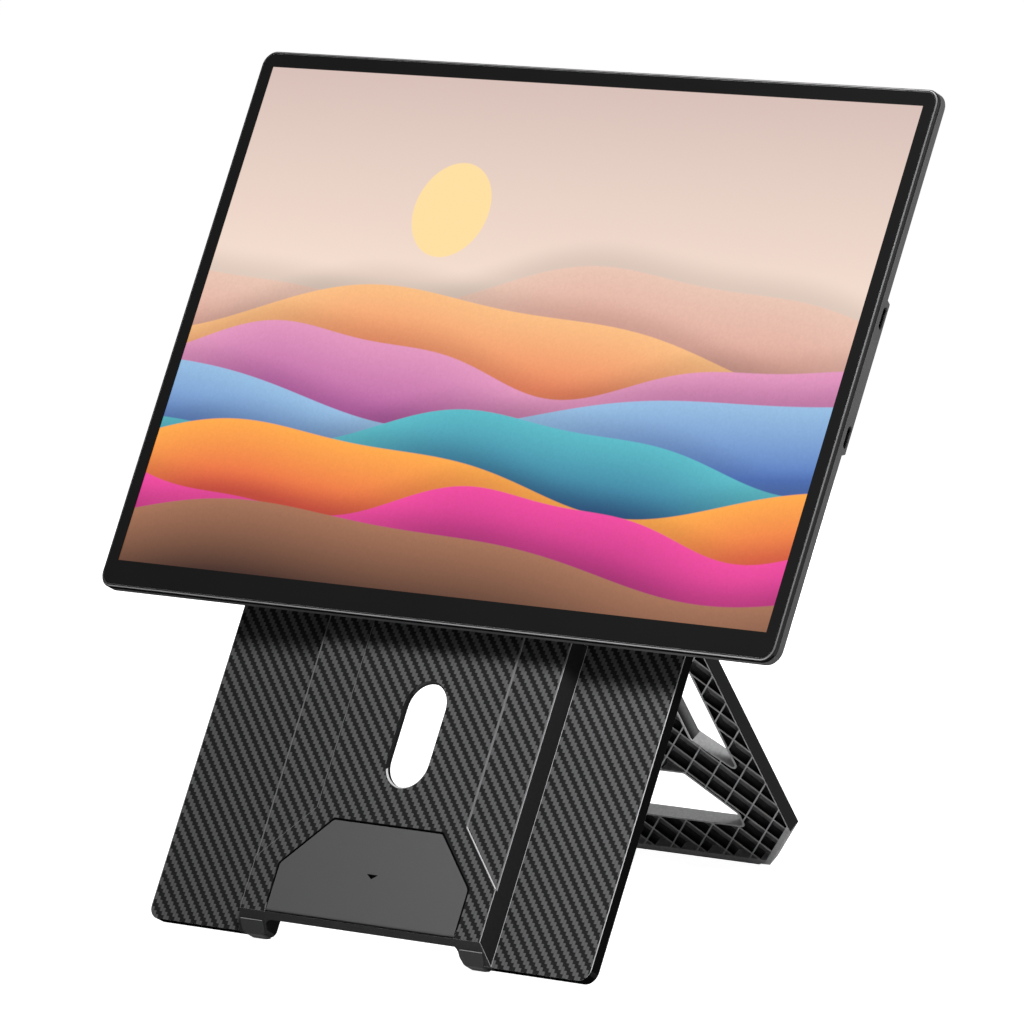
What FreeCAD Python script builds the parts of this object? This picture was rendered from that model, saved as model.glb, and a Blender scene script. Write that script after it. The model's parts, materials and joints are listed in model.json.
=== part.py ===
import FreeCAD, Part
import math
import os

# Portable monitor on a folding stand, in millimetres.
# The pieces are drawn with the panel upright: X to the right, Y to the back, Z up along the panel,
# with the origin in the middle of the panel's bottom edge, on the front face of its wings.
# At the end the whole is leaned back on its leg and set on the ground.

# Picture and monitor case
active_width = 344.7
active_height = 215.4
bezel_side = 6.8
bezel_top = 6.9
bezel_bottom = 11.6
picture_height = 247.15
case_corner = 6.5
case_edge = 5.05
case_wall = 1.0
case_side_wall = 1.8
housing_depth = 8.0
housing_height = 63.4
housing_drop = 2.0
housing_slope = 1.6
housing_end_chamfer = 1.2
frame_depth = 1.9
frame_seam = 0.25
frame_tongue = 0.6
rim_width = 1.3
rim_chamfer = 0.8

# Picture stack, from the front
bezel_inset = 0.05
bezel_thickness = 0.45
bezel_gap = 0.1
lcd_border = 1.4
lcd_foot = 4.0
lcd_thickness = 1.1
lcd_gap = 0.3
guide_border = 0.8
guide_thickness = 1.2
tray_thickness = 0.4
led_height = 1.2
led_depth = 1.0
stack_gap = 0.1
support_rib = 2.0
support_rib_length = 300.0

# Boards, sockets, speakers and buttons
board_length = 96.0
board_height = 46.0
board_thickness = 0.8
board_boss = 2.2
board_screw_inset = 4.0
board_back_gap = 1.4
socket_length = 7.2
socket_width = 8.94
socket_height = 2.9
socket_wall = 0.25
socket_mouth_width = 9.1
socket_mouth_height = 2.9
socket_depth_centre = 5.5
socket_upper = 22.4
socket_lower = -26.3
socket_tongue_width = 6.7
socket_tongue_thickness = 0.7
speaker_length = 28.0
speaker_height = 14.0
speaker_thickness = 3.0
speaker_gap = 1.1
grille_slots = 6
grille_pitch = 3.2
grille_slot_width = 1.4
grille_slot_length = 9.0
cable_width = 26.0
cable_thickness = 0.25
button_depth_centre = 5.4
button_height = 2.4
scoop_length = 46.0
scoop_height = 3.6
scoop_depth = 0.5
button_gap = 0.15
button_flange = 0.8
button_flange_lip = 0.7
button_travel = 0.4
button_pitch = 13.0
button_long = 9.0
button_short = 7.0
switch_length = 3.0
switch_width = 4.0
switch_height = 1.4
button_board_length = 12.0
button_board_height = 44.0

# Screws: shank radius, head radius and head depth
m16_shank = 0.75
m16_head = 1.5
m16_head_depth = 0.7
m25_shank = 1.2
m25_head = 2.3
m25_head_depth = 1.1
m3_shank = 1.45
m3_head = 2.8
m3_head_depth = 1.5
m4_shank = 1.6
m4_head = 3.6
m4_head_depth = 1.9
screw_gap = 0.05
case_screw_inset = 3.6
case_screw_setback = 13.0
case_boss = 1.55

# Monitor mount and height slide
mount_pad = 47.5
mount_pitch = 75.0
insert_radius = 2.9
insert_length = 2.6
insert_gap = 0.02
mount_gap = 7.2
plate_thickness = 3.4
plate_corner = 6.0
plate_foot = 177.0
runner_length = 48.0
runner_step_gap = 3.0
runner_cheek = 3.6
runner_gap = 0.1
runner_side_gap = 0.35
runner_lip = 1.6
slide_travel = 45.0
brake_width = 12.0
brake_length = 20.0
brake_depth = 2.0
brake_gap = 0.05
runner_screw_inset = 11.0
runner_screw_pitch = 34.0

# Stand panel
wing_width = 50.0
panel_height = 227.0
panel_corner = 5.5
wing_skin = 2.75
back_cover = 2.0
cover_gap = 0.2
panel_rim = 2.4
slab_rise = 6.64
slab_half_base = 67.4
slab_draft = 3.4
pocket_wall = 4.9
slab_foot = 7.85
slab_head = 4.0
slab_wall = 2.2
slab_end = 0.3
lip_drop = 2.4
lip_depth = 3.6
bay_inset = 16.1
bay_corner = 2.5
bay_foot_round = 3.0
track_width = 24.0
track_depth = 0.6
track_knee = 52.35
track_end = 29.45
groove_height = 2.2
groove_depth = 2.0
slot_width = 20.9
slot_length = 43.2
slot_centre = 86.5
slot_chamfer = 0.7
cover_screw_inset_x = 14.0
cover_screw_inset_z = 16.0

# Stop flap in the slab's lower end
flap_side = 13.9
flap_shoulder_width = 21.3
flap_top = 48.3
flap_shoulder = 27.85
flap_corner = 2.5
flap_gap = 0.5
flap_thickness = 2.0
flap_foot_gap = 0.4
flap_seat_gap = 0.1
flap_floor = 1.3
flap_pin_radius = 0.6
flap_pin_length = 8.0
flap_pin_in_flap = 4.0
flap_pin_gap = 0.03

# Rear leg and its hinge
leg_length = 198.4
leg_thickness = 6.0
leg_side_gap = 0.5
leg_rib_gap = 1.9
leg_opening = 60.2
leg_chamfer = 21.0
leg_shoulder = 11.7
leg_head = 14.0
leg_heel = 3.6
leg_skin = 1.6
leg_rim = 2.4
leg_side_rim = 1.0
window_wall = 0.9
window_corner = 1.5
rib_pitch = 10.0
rib_thickness = 0.6
rib_start = 41.0
rib_start_height = 33.3
rail_width = 13.2
upper_window_width = 17.3
brace_outer = 51.5
brace_inner = 66.0
upper_window_top = 44.0
lower_window_inset = 25.1
lower_window_taper = 19.1
lower_window_top = 46.0
lower_window_tip = 27.0
leg_bar = 20.5
solid_head = 9.0
hinge_height = 198.1
shaft_radius = 2.0
shaft_gap = 0.03
shaft_end_gap = 1.0
washer_radius = 2.9
washer_thickness = 0.5
washer_gap = 0.1
saddle_height = 17.0
cap_thickness = 3.1
cap_screw_offset = 5.6
hinge_cover_gap = 0.3
hinge_cover_lap = 1.8
pocket_gap = 0.5
cover_boss = 4.0
cover_screw_side = 20.5

# Rubber feet
foot_width = 11.8
foot_inset = 3.0
foot_setback = 4.2
foot_proud = 0.73
foot_drop = 0.55
foot_heel = 1.0
foot_round = 3.0
foot_gap = 0.02
ground_drop = 0.5
leg_pad_inset = 6.0
leg_pad = 0.6


def vector(x, y, z):
    return FreeCAD.Vector(x, y, z)


def rounded_wire(points, radius):
    """Closed wire through the points, each corner rounded by the radius."""
    count = len(points)
    if radius <= 0.0:
        return Part.makePolygon(points + [points[0]])
    edges = []
    cuts = []
    for index, corner in enumerate(points):
        before = (points[index - 1] - corner).normalize()
        after = (points[(index + 1) % count] - corner).normalize()
        half = before.getAngle(after) / 2.0
        reach = radius / math.tan(half)
        middle = (before + after).normalize()
        centre = corner + middle * (radius / math.sin(half))
        cuts.append((corner + before * reach, centre - middle * radius, corner + after * reach))
    for index, (start, middle, end) in enumerate(cuts):
        edges.append(Part.Arc(start, middle, end).toShape())
        following = cuts[(index + 1) % count][0]
        if (following - end).Length > 1e-6:
            edges.append(Part.LineSegment(end, following).toShape())
    return Part.Wire(edges)


def plate_xz(points, y_low, y_high, radius=0.0):
    """Plate with its outline in X and Z, thick along Y."""
    wire = rounded_wire([vector(x, y_low, z) for x, z in points], radius)
    return Part.Face(wire).extrude(vector(0, y_high - y_low, 0))


def sheet_xz(points, y, radius=0.0):
    """Flat face with its outline in X and Z."""
    return Part.Face(rounded_wire([vector(x, y, z) for x, z in points], radius))


def bar_yz(points, x_low, x_high):
    """Bar with its section in Y and Z, long along X."""
    wire = rounded_wire([vector(x_low, y, z) for y, z in points], 0.0)
    return Part.Face(wire).extrude(vector(x_high - x_low, 0, 0))


def post_xy(points, z_low, z_high):
    """Post with its section in X and Y, tall along Z."""
    wire = rounded_wire([vector(x, y, z_low) for x, y in points], 0.0)
    return Part.Face(wire).extrude(vector(0, 0, z_high - z_low))


def rectangle(half_width, z_low, z_high):
    return [(-half_width, z_low), (half_width, z_low), (half_width, z_high), (-half_width, z_high)]


def block(x_range, y_range, z_range):
    corner = vector(x_range[0], y_range[0], z_range[0])
    return Part.makeBox(x_range[1] - x_range[0], y_range[1] - y_range[0], z_range[1] - z_range[0], corner)


def rod_x(radius, x_low, x_high, y, z):
    return Part.makeCylinder(radius, x_high - x_low, vector(x_low, y, z), vector(1, 0, 0))


def rod_y(radius, y_low, y_high, x, z):
    return Part.makeCylinder(radius, y_high - y_low, vector(x, y_low, z), vector(0, 1, 0))


def countersunk(shank, head, depth, length, place, way):
    """Countersunk screw: its flat head lies at place and its shank runs along way in Y."""
    direction = vector(0, way, 0)
    cone = Part.makeCone(head, shank, depth, place, direction)
    return cone.fuse(Part.makeCylinder(shank, length, place, direction)).removeSplitter()


def obround_x(length, height, x_low, x_high, y, z):
    """Rod along X with an obround section, long in Z and high in Y."""
    radius = height / 2.0
    run = length / 2.0 - radius
    points = [vector(x_low, y - radius, z - run), vector(x_low, y - radius, z + run),
              vector(x_low, y + radius, z + run), vector(x_low, y + radius, z - run)]
    top = Part.Arc(points[1], vector(x_low, y, z + run + radius), points[2]).toShape()
    foot = Part.Arc(points[3], vector(x_low, y, z - run - radius), points[0]).toShape()
    left = Part.LineSegment(points[0], points[1]).toShape()
    right = Part.LineSegment(points[2], points[3]).toShape()
    face = Part.Face(Part.Wire([left, top, right, foot]))
    return face.extrude(vector(x_high - x_low, 0, 0))


def mirrored(shape):
    return shape.mirror(vector(0, 0, 0), vector(1, 0, 0))


def grown(points, distance):
    """Polygon with each side moved outwards by the distance (inwards where it is negative)."""
    count = len(points)
    area = sum(points[i - 1][0] * points[i][1] - points[i][0] * points[i - 1][1] for i in range(count))
    side = distance if area > 0 else -distance
    lines = []
    for index in range(count):
        (x0, z0), (x1, z1) = points[index], points[(index + 1) % count]
        length = math.hypot(x1 - x0, z1 - z0)
        along = ((x1 - x0) / length, (z1 - z0) / length)
        lines.append(((x0 + along[1] * side, z0 - along[0] * side), along))
    result = []
    for index in range(count):
        (first, u), (second, v) = lines[index - 1], lines[index]
        cross = u[0] * v[1] - u[1] * v[0]
        step = ((second[0] - first[0]) * v[1] - (second[1] - first[1]) * v[0]) / cross
        result.append((first[0] + u[0] * step, first[1] + u[1] * step))
    return result


nodes = {}

# Places that several pieces share
housing_back = -slab_rise - mount_gap
case_front = housing_back - housing_depth
case_back = case_front + case_edge
case_half = active_width / 2.0 + bezel_side
picture_low = picture_height - active_height / 2.0
picture_high = picture_height + active_height / 2.0
case_low = picture_low - bezel_bottom
case_high = picture_high + bezel_top
case_middle = (case_low + case_high) / 2.0
bezel_front = case_front + bezel_inset
bezel_back = bezel_front + bezel_thickness
lcd_back = bezel_back + lcd_thickness
guide_back = lcd_back + guide_thickness
tray_back = guide_back + tray_thickness
lcd_half = active_width / 2.0 + lcd_border
lcd_low = picture_low - lcd_foot
lcd_high = picture_high + lcd_border
frame_back = case_front + frame_depth
cover_front = frame_back + frame_seam
cover_inside = case_back - case_wall
housing_inside = housing_back - case_wall
housing_middle = picture_height - housing_drop
housing_low = housing_middle - housing_height / 2.0
housing_high = housing_middle + housing_height / 2.0


def case_outline(inset):
    """The case's outline from the front, drawn in by an inset."""
    return rectangle(case_half - inset, case_low + inset, case_high - inset)


# Front bezel: the thin black border round the picture
bezel_recess = case_outline(rim_width)
bezel_outline = case_outline(rim_width + bezel_gap)
bezel_corner = case_corner - rim_width - bezel_gap
nodes["front_bezel"] = plate_xz(bezel_outline, bezel_front, bezel_back, bezel_corner).cut(
    plate_xz(rectangle(active_width / 2.0, picture_low, picture_high), bezel_front, bezel_back))

# Picture cell, light guide, lamp strip and the tray that holds them
lcd_outline = rectangle(lcd_half, lcd_low, lcd_high)
nodes["lcd_cell"] = plate_xz(lcd_outline, bezel_back, lcd_back)
guide_half = active_width / 2.0 + guide_border
guide_low = picture_low - guide_border
nodes["light_guide"] = plate_xz(
    rectangle(guide_half, guide_low, picture_high + guide_border), lcd_back, guide_back)
nodes["led_strip"] = block(
    (-active_width / 2.0, active_width / 2.0), (guide_back - led_depth, guide_back),
    (guide_low - stack_gap - led_height, guide_low - stack_gap))
tray_inside = rectangle(lcd_half - tray_thickness, lcd_low + tray_thickness, lcd_high - tray_thickness)
nodes["backlight_tray"] = plate_xz(lcd_outline, lcd_back, tray_back).cut(
    plate_xz(tray_inside, lcd_back, guide_back))

# Bezel frame: the ring with the bright chamfer, with a tongue that meets the rear cover
frame_opening = rectangle(lcd_half + lcd_gap, lcd_low - lcd_gap, lcd_high + lcd_gap)
front_points = [vector(x, case_front, z) for x, z in case_outline(rim_chamfer)]
edge_points = [vector(x, case_front + rim_chamfer, z) for x, z in case_outline(0.0)]
front_wire = rounded_wire(front_points, case_corner - rim_chamfer)
chamfer_ring = Part.makeLoft([front_wire, rounded_wire(edge_points, case_corner)], True, True)
frame = chamfer_ring.fuse(plate_xz(case_outline(0.0), case_front + rim_chamfer, frame_back, case_corner))
tongue_corner = case_corner - frame_tongue
frame = frame.fuse(plate_xz(case_outline(frame_tongue), frame_back, cover_front, tongue_corner))
frame = frame.cut(plate_xz(bezel_recess, case_front, bezel_back, case_corner - rim_width))
frame = frame.cut(plate_xz(frame_opening, case_front, cover_front))

# Rear cover: a tray with a thicker housing across its middle and a square pad for the mount
cover = plate_xz(case_outline(0.0), cover_front, case_back, case_corner)
hollow_outline = case_outline(case_side_wall)
hollow_corner = case_corner - case_side_wall
cover = cover.cut(plate_xz(hollow_outline, cover_front, cover_inside, hollow_corner))


def housing_section(wall, start):
    """The housing's section in Y and Z from a start depth, drawn in by a wall."""
    low = housing_low + wall
    high = housing_high - wall
    back = housing_back - wall
    return [(start, low), (case_back - wall, low), (back, low + housing_slope),
            (back, high - housing_slope), (case_back - wall, high), (start, high)]


housing_end = housing_back - housing_end_chamfer
housing_half = case_half - housing_end_chamfer
housing_plan = [(-case_half, cover_front), (case_half, cover_front), (case_half, housing_end),
                (housing_half, housing_back), (-housing_half, housing_back), (-case_half, housing_end)]
housing = bar_yz(housing_section(0.0, cover_inside), -case_half, case_half).common(
    post_xy(housing_plan, housing_low, housing_high))
pad = plate_xz(rectangle(mount_pad, case_middle - mount_pad, case_middle + mount_pad),
               cover_inside, housing_back, case_corner)
hollow_half = case_half - case_side_wall
cover = cover.fuse(housing).fuse(pad)
cover = cover.cut(bar_yz(housing_section(case_wall, cover_front), -hollow_half, hollow_half))
cover = cover.cut(plate_xz(hollow_outline, cover_front, tray_back, hollow_corner))

# Ribs in the rear cover that carry the tray above and below the housing
for rib_z in ((lcd_low + housing_low) / 2.0, (lcd_high + housing_high) / 2.0):
    rib_range = (rib_z - support_rib / 2.0, rib_z + support_rib / 2.0)
    cover = cover.fuse(block(
        (-support_rib_length / 2.0, support_rib_length / 2.0), (tray_back, cover_inside), rib_range))

# Case screws: small countersunk screws through bosses at the rim, into the bezel frame
case_screw_x = case_half - case_screw_inset
case_screw_places = [(side * case_screw_x, z) for side in (-1, 1)
                     for z in (case_low + case_screw_setback, housing_low - case_screw_setback,
                               housing_high + case_screw_setback, case_high - case_screw_setback)]
case_screw_length = case_back - case_front - rim_chamfer
case_screws = []
for x, z in case_screw_places:
    cover = cover.fuse(rod_y(case_boss, cover_front, cover_inside, x, z))
    place = vector(x, case_back, z)
    case_screws.append(countersunk(m16_shank, m16_head, m16_head_depth, case_screw_length, place, -1))
    hole = countersunk(
        m16_shank + screw_gap, m16_head + screw_gap, m16_head_depth, case_screw_length, place, -1)
    cover = cover.cut(hole)
    frame = frame.cut(hole)
nodes["bezel_frame"] = frame
nodes["rear_cover_screws"] = Part.makeCompound(case_screws)

# Main board on bosses in the housing, beside the sockets of the right edge
socket_y = case_front + socket_depth_centre
board_back = housing_inside - board_back_gap
board_front = board_back - board_thickness
board_right = hollow_half - frame_seam
board_left = board_right - board_length
socket_left = board_right - socket_length
board_low = housing_middle - board_height / 2.0
board_high = housing_middle + board_height / 2.0
board = block((board_left, board_right), (board_front, board_back), (board_low, board_high))
board_screws = []
screw_room = board_front - tray_back - frame_seam


def fix_board(board_shape, cover_shape, x, z):
    """Boss on the cover and a screw through the board into it."""
    cover_shape = cover_shape.fuse(rod_y(board_boss, board_back, housing_inside + case_wall / 2.0, x, z))
    bore = rod_y(m16_shank + screw_gap, board_front, housing_inside, x, z)
    head = rod_y(m16_head, board_front - screw_room, board_front, x, z)
    shank = rod_y(m16_shank, board_front, housing_inside - stack_gap, x, z)
    board_screws.append(head.fuse(shank).removeSplitter())
    return board_shape.cut(bore), cover_shape.cut(bore)


for x in (board_left + board_screw_inset, socket_left - board_screw_inset):
    for z in (board_low + board_screw_inset, board_high - board_screw_inset):
        board, cover = fix_board(board, cover, x, z)

# USB-C sockets, sunk in notches of the board, behind obround mouths in the case's side
for name, offset in (("usb_c_port_upper", socket_upper), ("usb_c_port_lower", socket_lower)):
    z = picture_height + offset
    shell = obround_x(socket_width, socket_height, socket_left, board_right, socket_y, z)
    hollow = obround_x(socket_width - 2.0 * socket_wall, socket_height - 2.0 * socket_wall,
                       socket_left + socket_wall, board_right, socket_y, z)
    tongue = block((socket_left, board_right - socket_wall),
                   (socket_y - socket_tongue_thickness / 2.0, socket_y + socket_tongue_thickness / 2.0),
                   (z - socket_tongue_width / 2.0, z + socket_tongue_width / 2.0))
    nodes[name] = shell.cut(hollow).fuse(tongue).removeSplitter()
    board = board.cut(block((socket_left, board_right), (board_front, board_back),
                            (z - socket_width / 2.0, z + socket_width / 2.0)))
    cover = cover.cut(obround_x(
        socket_mouth_width, socket_mouth_height, board_right, case_half, socket_y, z))
nodes["main_board"] = board

# Flat cable from the board down to the picture cell's lower edge, behind the tray
cable_x = board_left + board_screw_inset + cable_width
cable_foot = lcd_low + led_height
cable_front = tray_back
cable_run = block((cable_x - cable_width / 2.0, cable_x + cable_width / 2.0),
                  (cable_front, cable_front + cable_thickness), (cable_foot, board_low + board_screw_inset))
cable_end = block((cable_x - cable_width / 2.0, cable_x + cable_width / 2.0), (cable_front, board_front),
                  (board_low + cable_thickness, board_low + board_screw_inset / 2.0))
nodes["display_cable"] = cable_run.fuse(cable_end).removeSplitter()
cover = cover.cut(block((cable_x - cable_width / 2.0 - stack_gap, cable_x + cable_width / 2.0 + stack_gap),
                        (cable_front, cable_front + cable_thickness + stack_gap), (lcd_low, housing_low)))

# Speakers on the housing's back wall, behind slots
speaker_centre = board_left - speaker_gap - speaker_length / 2.0
for name, side in (("speaker_left", -1), ("speaker_right", 1)):
    x_middle = side * speaker_centre
    nodes[name] = block((x_middle - speaker_length / 2.0, x_middle + speaker_length / 2.0),
                        (housing_inside - speaker_thickness, housing_inside),
                        (housing_middle - speaker_height / 2.0, housing_middle + speaker_height / 2.0))
    for index in range(grille_slots):
        slot_x = x_middle + (index - (grille_slots - 1) / 2.0) * grille_pitch
        cover = cover.cut(block((slot_x - grille_slot_width / 2.0, slot_x + grille_slot_width / 2.0),
                                (housing_inside, housing_back),
                                (housing_middle - grille_slot_length / 2.0,
                                 housing_middle + grille_slot_length / 2.0)))

# Buttons in a shallow scoop of the left edge, with their switches on a small board
button_y = case_front + button_depth_centre
flange_face = -hollow_half + button_gap
flange_back = flange_face + button_flange
switch_face = flange_back + button_travel + button_gap
key_switches = []
cover = cover.cut(obround_x(
    scoop_length, scoop_height, -case_half, scoop_depth - case_half, button_y, housing_middle))
button_rows = (("power_button", 1, button_long), ("menu_up_button", 0, button_short),
               ("menu_down_button", -1, button_short))
for name, row, length in button_rows:
    z = housing_middle + row * button_pitch
    head = obround_x(length, button_height, -case_half, flange_face, button_y, z)
    flange_half = length / 2.0 + button_flange_lip
    flange = block((flange_face, flange_back),
                   (button_y - button_height / 2.0, button_y + button_height / 2.0),
                   (z - flange_half, z + flange_half))
    nodes[name] = head.fuse(flange).removeSplitter()
    cover = cover.cut(obround_x(length + 2.0 * button_gap, button_height + 2.0 * button_gap,
                                -case_half, -hollow_half, button_y, z))
    key_switches.append(block((switch_face, switch_face + switch_length),
                              (board_front - switch_height, board_front),
                              (z - switch_width / 2.0, z + switch_width / 2.0)))
nodes["key_switches"] = Part.makeCompound(key_switches)
board_end = button_board_height / 2.0
button_board = block((switch_face + button_gap, switch_face + button_board_length),
                     (board_front, board_back), (housing_middle - board_end, housing_middle + board_end))
for side in (-1, 1):
    button_board, cover = fix_board(
        button_board, cover, switch_face + button_board_length - board_screw_inset,
        housing_middle + side * (board_end - board_screw_inset))
nodes["button_board"] = button_board
nodes["board_screws"] = Part.makeCompound(board_screws)

# Mount: threaded inserts in the rear cover's pad, carriage plate, and screws between them
plate_back = housing_back + plate_thickness
mount_length = plate_thickness + insert_length - stack_gap
insert_front = housing_back - insert_length
inserts = []
mount_screws = []
mount_holes = []
for x in (-mount_pitch / 2.0, mount_pitch / 2.0):
    for z in (case_middle - mount_pitch / 2.0, case_middle + mount_pitch / 2.0):
        insert = rod_y(insert_radius, insert_front, housing_back, x, z)
        inserts.append(insert.cut(rod_y(m4_shank + screw_gap, insert_front, housing_back, x, z)))
        cover = cover.cut(rod_y(insert_radius + insert_gap, insert_front, housing_back, x, z))
        place = vector(x, plate_back, z)
        mount_screws.append(countersunk(m4_shank, m4_head, m4_head_depth, mount_length, place, -1))
        mount_holes.append(
            countersunk(m4_shank + screw_gap, m4_head + screw_gap, m4_head_depth, mount_length, place, -1))
nodes["rear_cover"] = cover.removeSplitter()
nodes["mount_inserts"] = Part.makeCompound(inserts)
nodes["mount_screws"] = Part.makeCompound(mount_screws)

# Height slide: a plate on the monitor's back with two runners that hook round the slab's sides
track_front = track_depth - slab_rise
slab_half_front = slab_half_base - slab_draft
draft = slab_draft / slab_rise
track_inner = slab_half_front - track_width
runner_inner = track_inner + runner_step_gap
runner_front = plate_back
runner_face = track_front - runner_gap
lip_inner = slab_half_base - groove_depth + runner_side_gap
lip_top = -runner_side_gap - runner_lip
cheek_outer = slab_half_base + runner_side_gap + runner_cheek


def slab_half_at(y):
    """Half width of the slab's drafted sides at a depth y."""
    return slab_half_base + draft * y


runner_foot = plate_foot
runner_head = plate_foot + runner_length
cheek_inner = slab_half_at(runner_face) + runner_side_gap
runner_section = [(runner_inner, runner_front), (cheek_outer, runner_front),
                  (cheek_outer, -runner_side_gap), (lip_inner, -runner_side_gap), (lip_inner, lip_top),
                  (slab_half_at(lip_top) + runner_side_gap, lip_top), (cheek_inner, runner_face),
                  (runner_inner, runner_face)]
runner = post_xy(runner_section, runner_foot, runner_head)
runner_middle = (runner_foot + runner_head) / 2.0
brake_x = (runner_inner + cheek_inner) / 2.0
brake_range = ((brake_x - brake_width / 2.0, brake_x + brake_width / 2.0),
               (runner_middle - brake_length / 2.0, runner_middle + brake_length / 2.0))
brake_bottom = track_front - brake_gap
brake = block(brake_range[0], (brake_bottom - brake_depth, brake_bottom), brake_range[1])
runner = runner.cut(block(brake_range[0], (brake_bottom - brake_depth, runner_face), brake_range[1]))
runner_screw_length = plate_thickness + (runner_face - runner_front) / 2.0
carriage_waist = runner_head + cheek_outer - mount_pad
carriage_points = [(-cheek_outer, runner_foot), (cheek_outer, runner_foot), (cheek_outer, runner_head),
                   (mount_pad, carriage_waist), (mount_pad, case_middle + mount_pad),
                   (-mount_pad, case_middle + mount_pad), (-mount_pad, carriage_waist),
                   (-cheek_outer, runner_head)]
carriage = plate_xz(carriage_points, housing_back, plate_back, plate_corner)
for hole in mount_holes:
    carriage = carriage.cut(hole)
runner_screws = []
for z in (runner_middle - runner_screw_pitch / 2.0, runner_middle + runner_screw_pitch / 2.0):
    place = vector(runner_inner + runner_screw_inset, housing_back, z)
    screw = countersunk(m3_shank, m3_head, m3_head_depth, runner_screw_length, place, 1)
    hole = countersunk(
        m3_shank + screw_gap, m3_head + screw_gap, m3_head_depth, runner_screw_length, place, 1)
    runner_screws += [screw, mirrored(screw)]
    carriage = carriage.cut(hole).cut(mirrored(hole))
    runner = runner.cut(hole)
nodes["carriage_plate"] = carriage
nodes["slide_runner_right"] = runner
nodes["slide_runner_left"] = mirrored(runner)
nodes["brake_pads"] = Part.makeCompound([brake, mirrored(brake)])
nodes["runner_screws"] = Part.makeCompound(runner_screws)

# Stand panel: two wings and a raised hollow slab between them, open at the back for the leg
panel_back = wing_skin + back_cover
pocket_half = slab_half_base - pocket_wall
wing_half = slab_half_base + wing_width
slab_front = -slab_rise
slab_top = panel_height - slab_head
slab_inside = slab_front + slab_wall
rib_face = slab_inside + leg_rib_gap
hinge_y = rib_face + leg_thickness / 2.0
leg_outer = rib_face + leg_thickness
lip_back = slab_front + lip_depth
panel = plate_xz(rectangle(wing_half, 0.0, panel_height), 0.0, panel_back, panel_corner)
slab_section = [(-slab_half_base, 0.0), (-slab_half_front, slab_front),
                (slab_half_front, slab_front), (slab_half_base, 0.0)]
slab_profile = [(slab_front, slab_foot), (slab_front, slab_top), (0.0, panel_height - panel_corner),
                (0.0, slab_end)]
slab = post_xy(slab_section, 0.0, panel_height).common(
    bar_yz(slab_profile, -slab_half_base, slab_half_base))
panel = panel.fuse(slab)
pocket_top = slab_top - slab_wall
panel = panel.cut(block((-pocket_half, pocket_half), (slab_inside, panel_back), (slab_foot, pocket_top)))

# Bay: the slab's sloped end is open between its two corners, under a narrow lip
bay_half = slab_half_base - bay_inset
bay_top = slab_foot - lip_drop
bay_foot = -2.0 * bay_corner
bay_points = [(-bay_half, bay_foot), (bay_half, bay_foot), (bay_half, bay_top), (-bay_half, bay_top)]
panel = panel.cut(plate_xz(bay_points, slab_front, panel_back, bay_corner))
panel = panel.cut(block((-bay_half, bay_half), (lip_back, panel_back), (bay_top - bay_corner, slab_foot)))
round_side = bay_half + bay_foot_round
bay_round = block((bay_half, round_side), (slab_front, panel_back), (0.0, bay_foot_round))
bay_round = bay_round.cut(rod_y(bay_foot_round, slab_front, panel_back, round_side, bay_foot_round))
panel = panel.cut(bay_round).cut(mirrored(bay_round))

# Tracks: shallow steps along the slab's sides that run out in diagonals above the flap
track_points = [(track_inner, track_knee), (slab_half_base, track_end - slab_draft),
                (slab_half_base, panel_height), (track_inner, panel_height)]
track = plate_xz(track_points, slab_front, track_front)
panel = panel.cut(track).cut(mirrored(track))

# Grooves at the slab's foot for the runners' lips, open at the top
groove = block((slab_half_base - groove_depth, slab_half_base), (-groove_height, 0.0),
               (runner_foot - slide_travel - runner_gap, panel_height))
panel = panel.cut(groove).cut(mirrored(groove))

# Cable slot through the slab, with a chamfered mouth
slot_run = (slot_length - slot_width) / 2.0


def slot_tool(radius, y_low, y_high):
    tool = block((-radius, radius), (y_low, y_high), (slot_centre - slot_run, slot_centre + slot_run))
    for end in (-slot_run, slot_run):
        tool = tool.fuse(rod_y(radius, y_low, y_high, 0.0, slot_centre + end))
    return tool.removeSplitter()


slot_radius = slot_width / 2.0
chamfer_base = slot_radius + slot_chamfer
chamfer_back = slab_front + slot_chamfer
slope_points = [(-chamfer_base, slab_front), (chamfer_base, slab_front),
                (slot_radius, chamfer_back), (-slot_radius, chamfer_back)]
slot_mouth = post_xy(slope_points, slot_centre - slot_run, slot_centre + slot_run)
for end in (-slot_run, slot_run):
    slot_mouth = slot_mouth.fuse(Part.makeCone(
        chamfer_base, slot_radius, slot_chamfer, vector(0, slab_front, slot_centre + end), vector(0, 1, 0)))
panel = panel.cut(slot_tool(slot_radius, slab_front, slab_inside)).cut(slot_mouth)

# Flap recess: a floor behind the flap, and blind bores for its two pins
flap_floor_front = slab_front + flap_thickness + flap_seat_gap
flap_floor_back = flap_floor_front + flap_floor
flap_foot = slab_foot + flap_foot_gap
flap_half = slab_half_front - flap_side
flap_half_top = flap_half - flap_shoulder_width
flap_axis_y = slab_front + flap_thickness / 2.0
flap_axis_z = flap_foot + flap_thickness / 2.0
flap_points = [(-flap_half, flap_foot), (flap_half, flap_foot), (flap_half, flap_shoulder),
               (flap_half_top, flap_top), (-flap_half_top, flap_top), (-flap_half, flap_shoulder)]
recess_points = grown(flap_points, flap_gap)
floor_points = grown(recess_points, slab_wall)
floor_points[0] = (floor_points[0][0], bay_top)
floor_points[1] = (floor_points[1][0], bay_top)
panel = panel.fuse(plate_xz(floor_points, slab_inside, flap_floor_back).common(
    block((-pocket_half, pocket_half), (slab_inside, lip_back), (bay_top, panel_height))))


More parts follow.
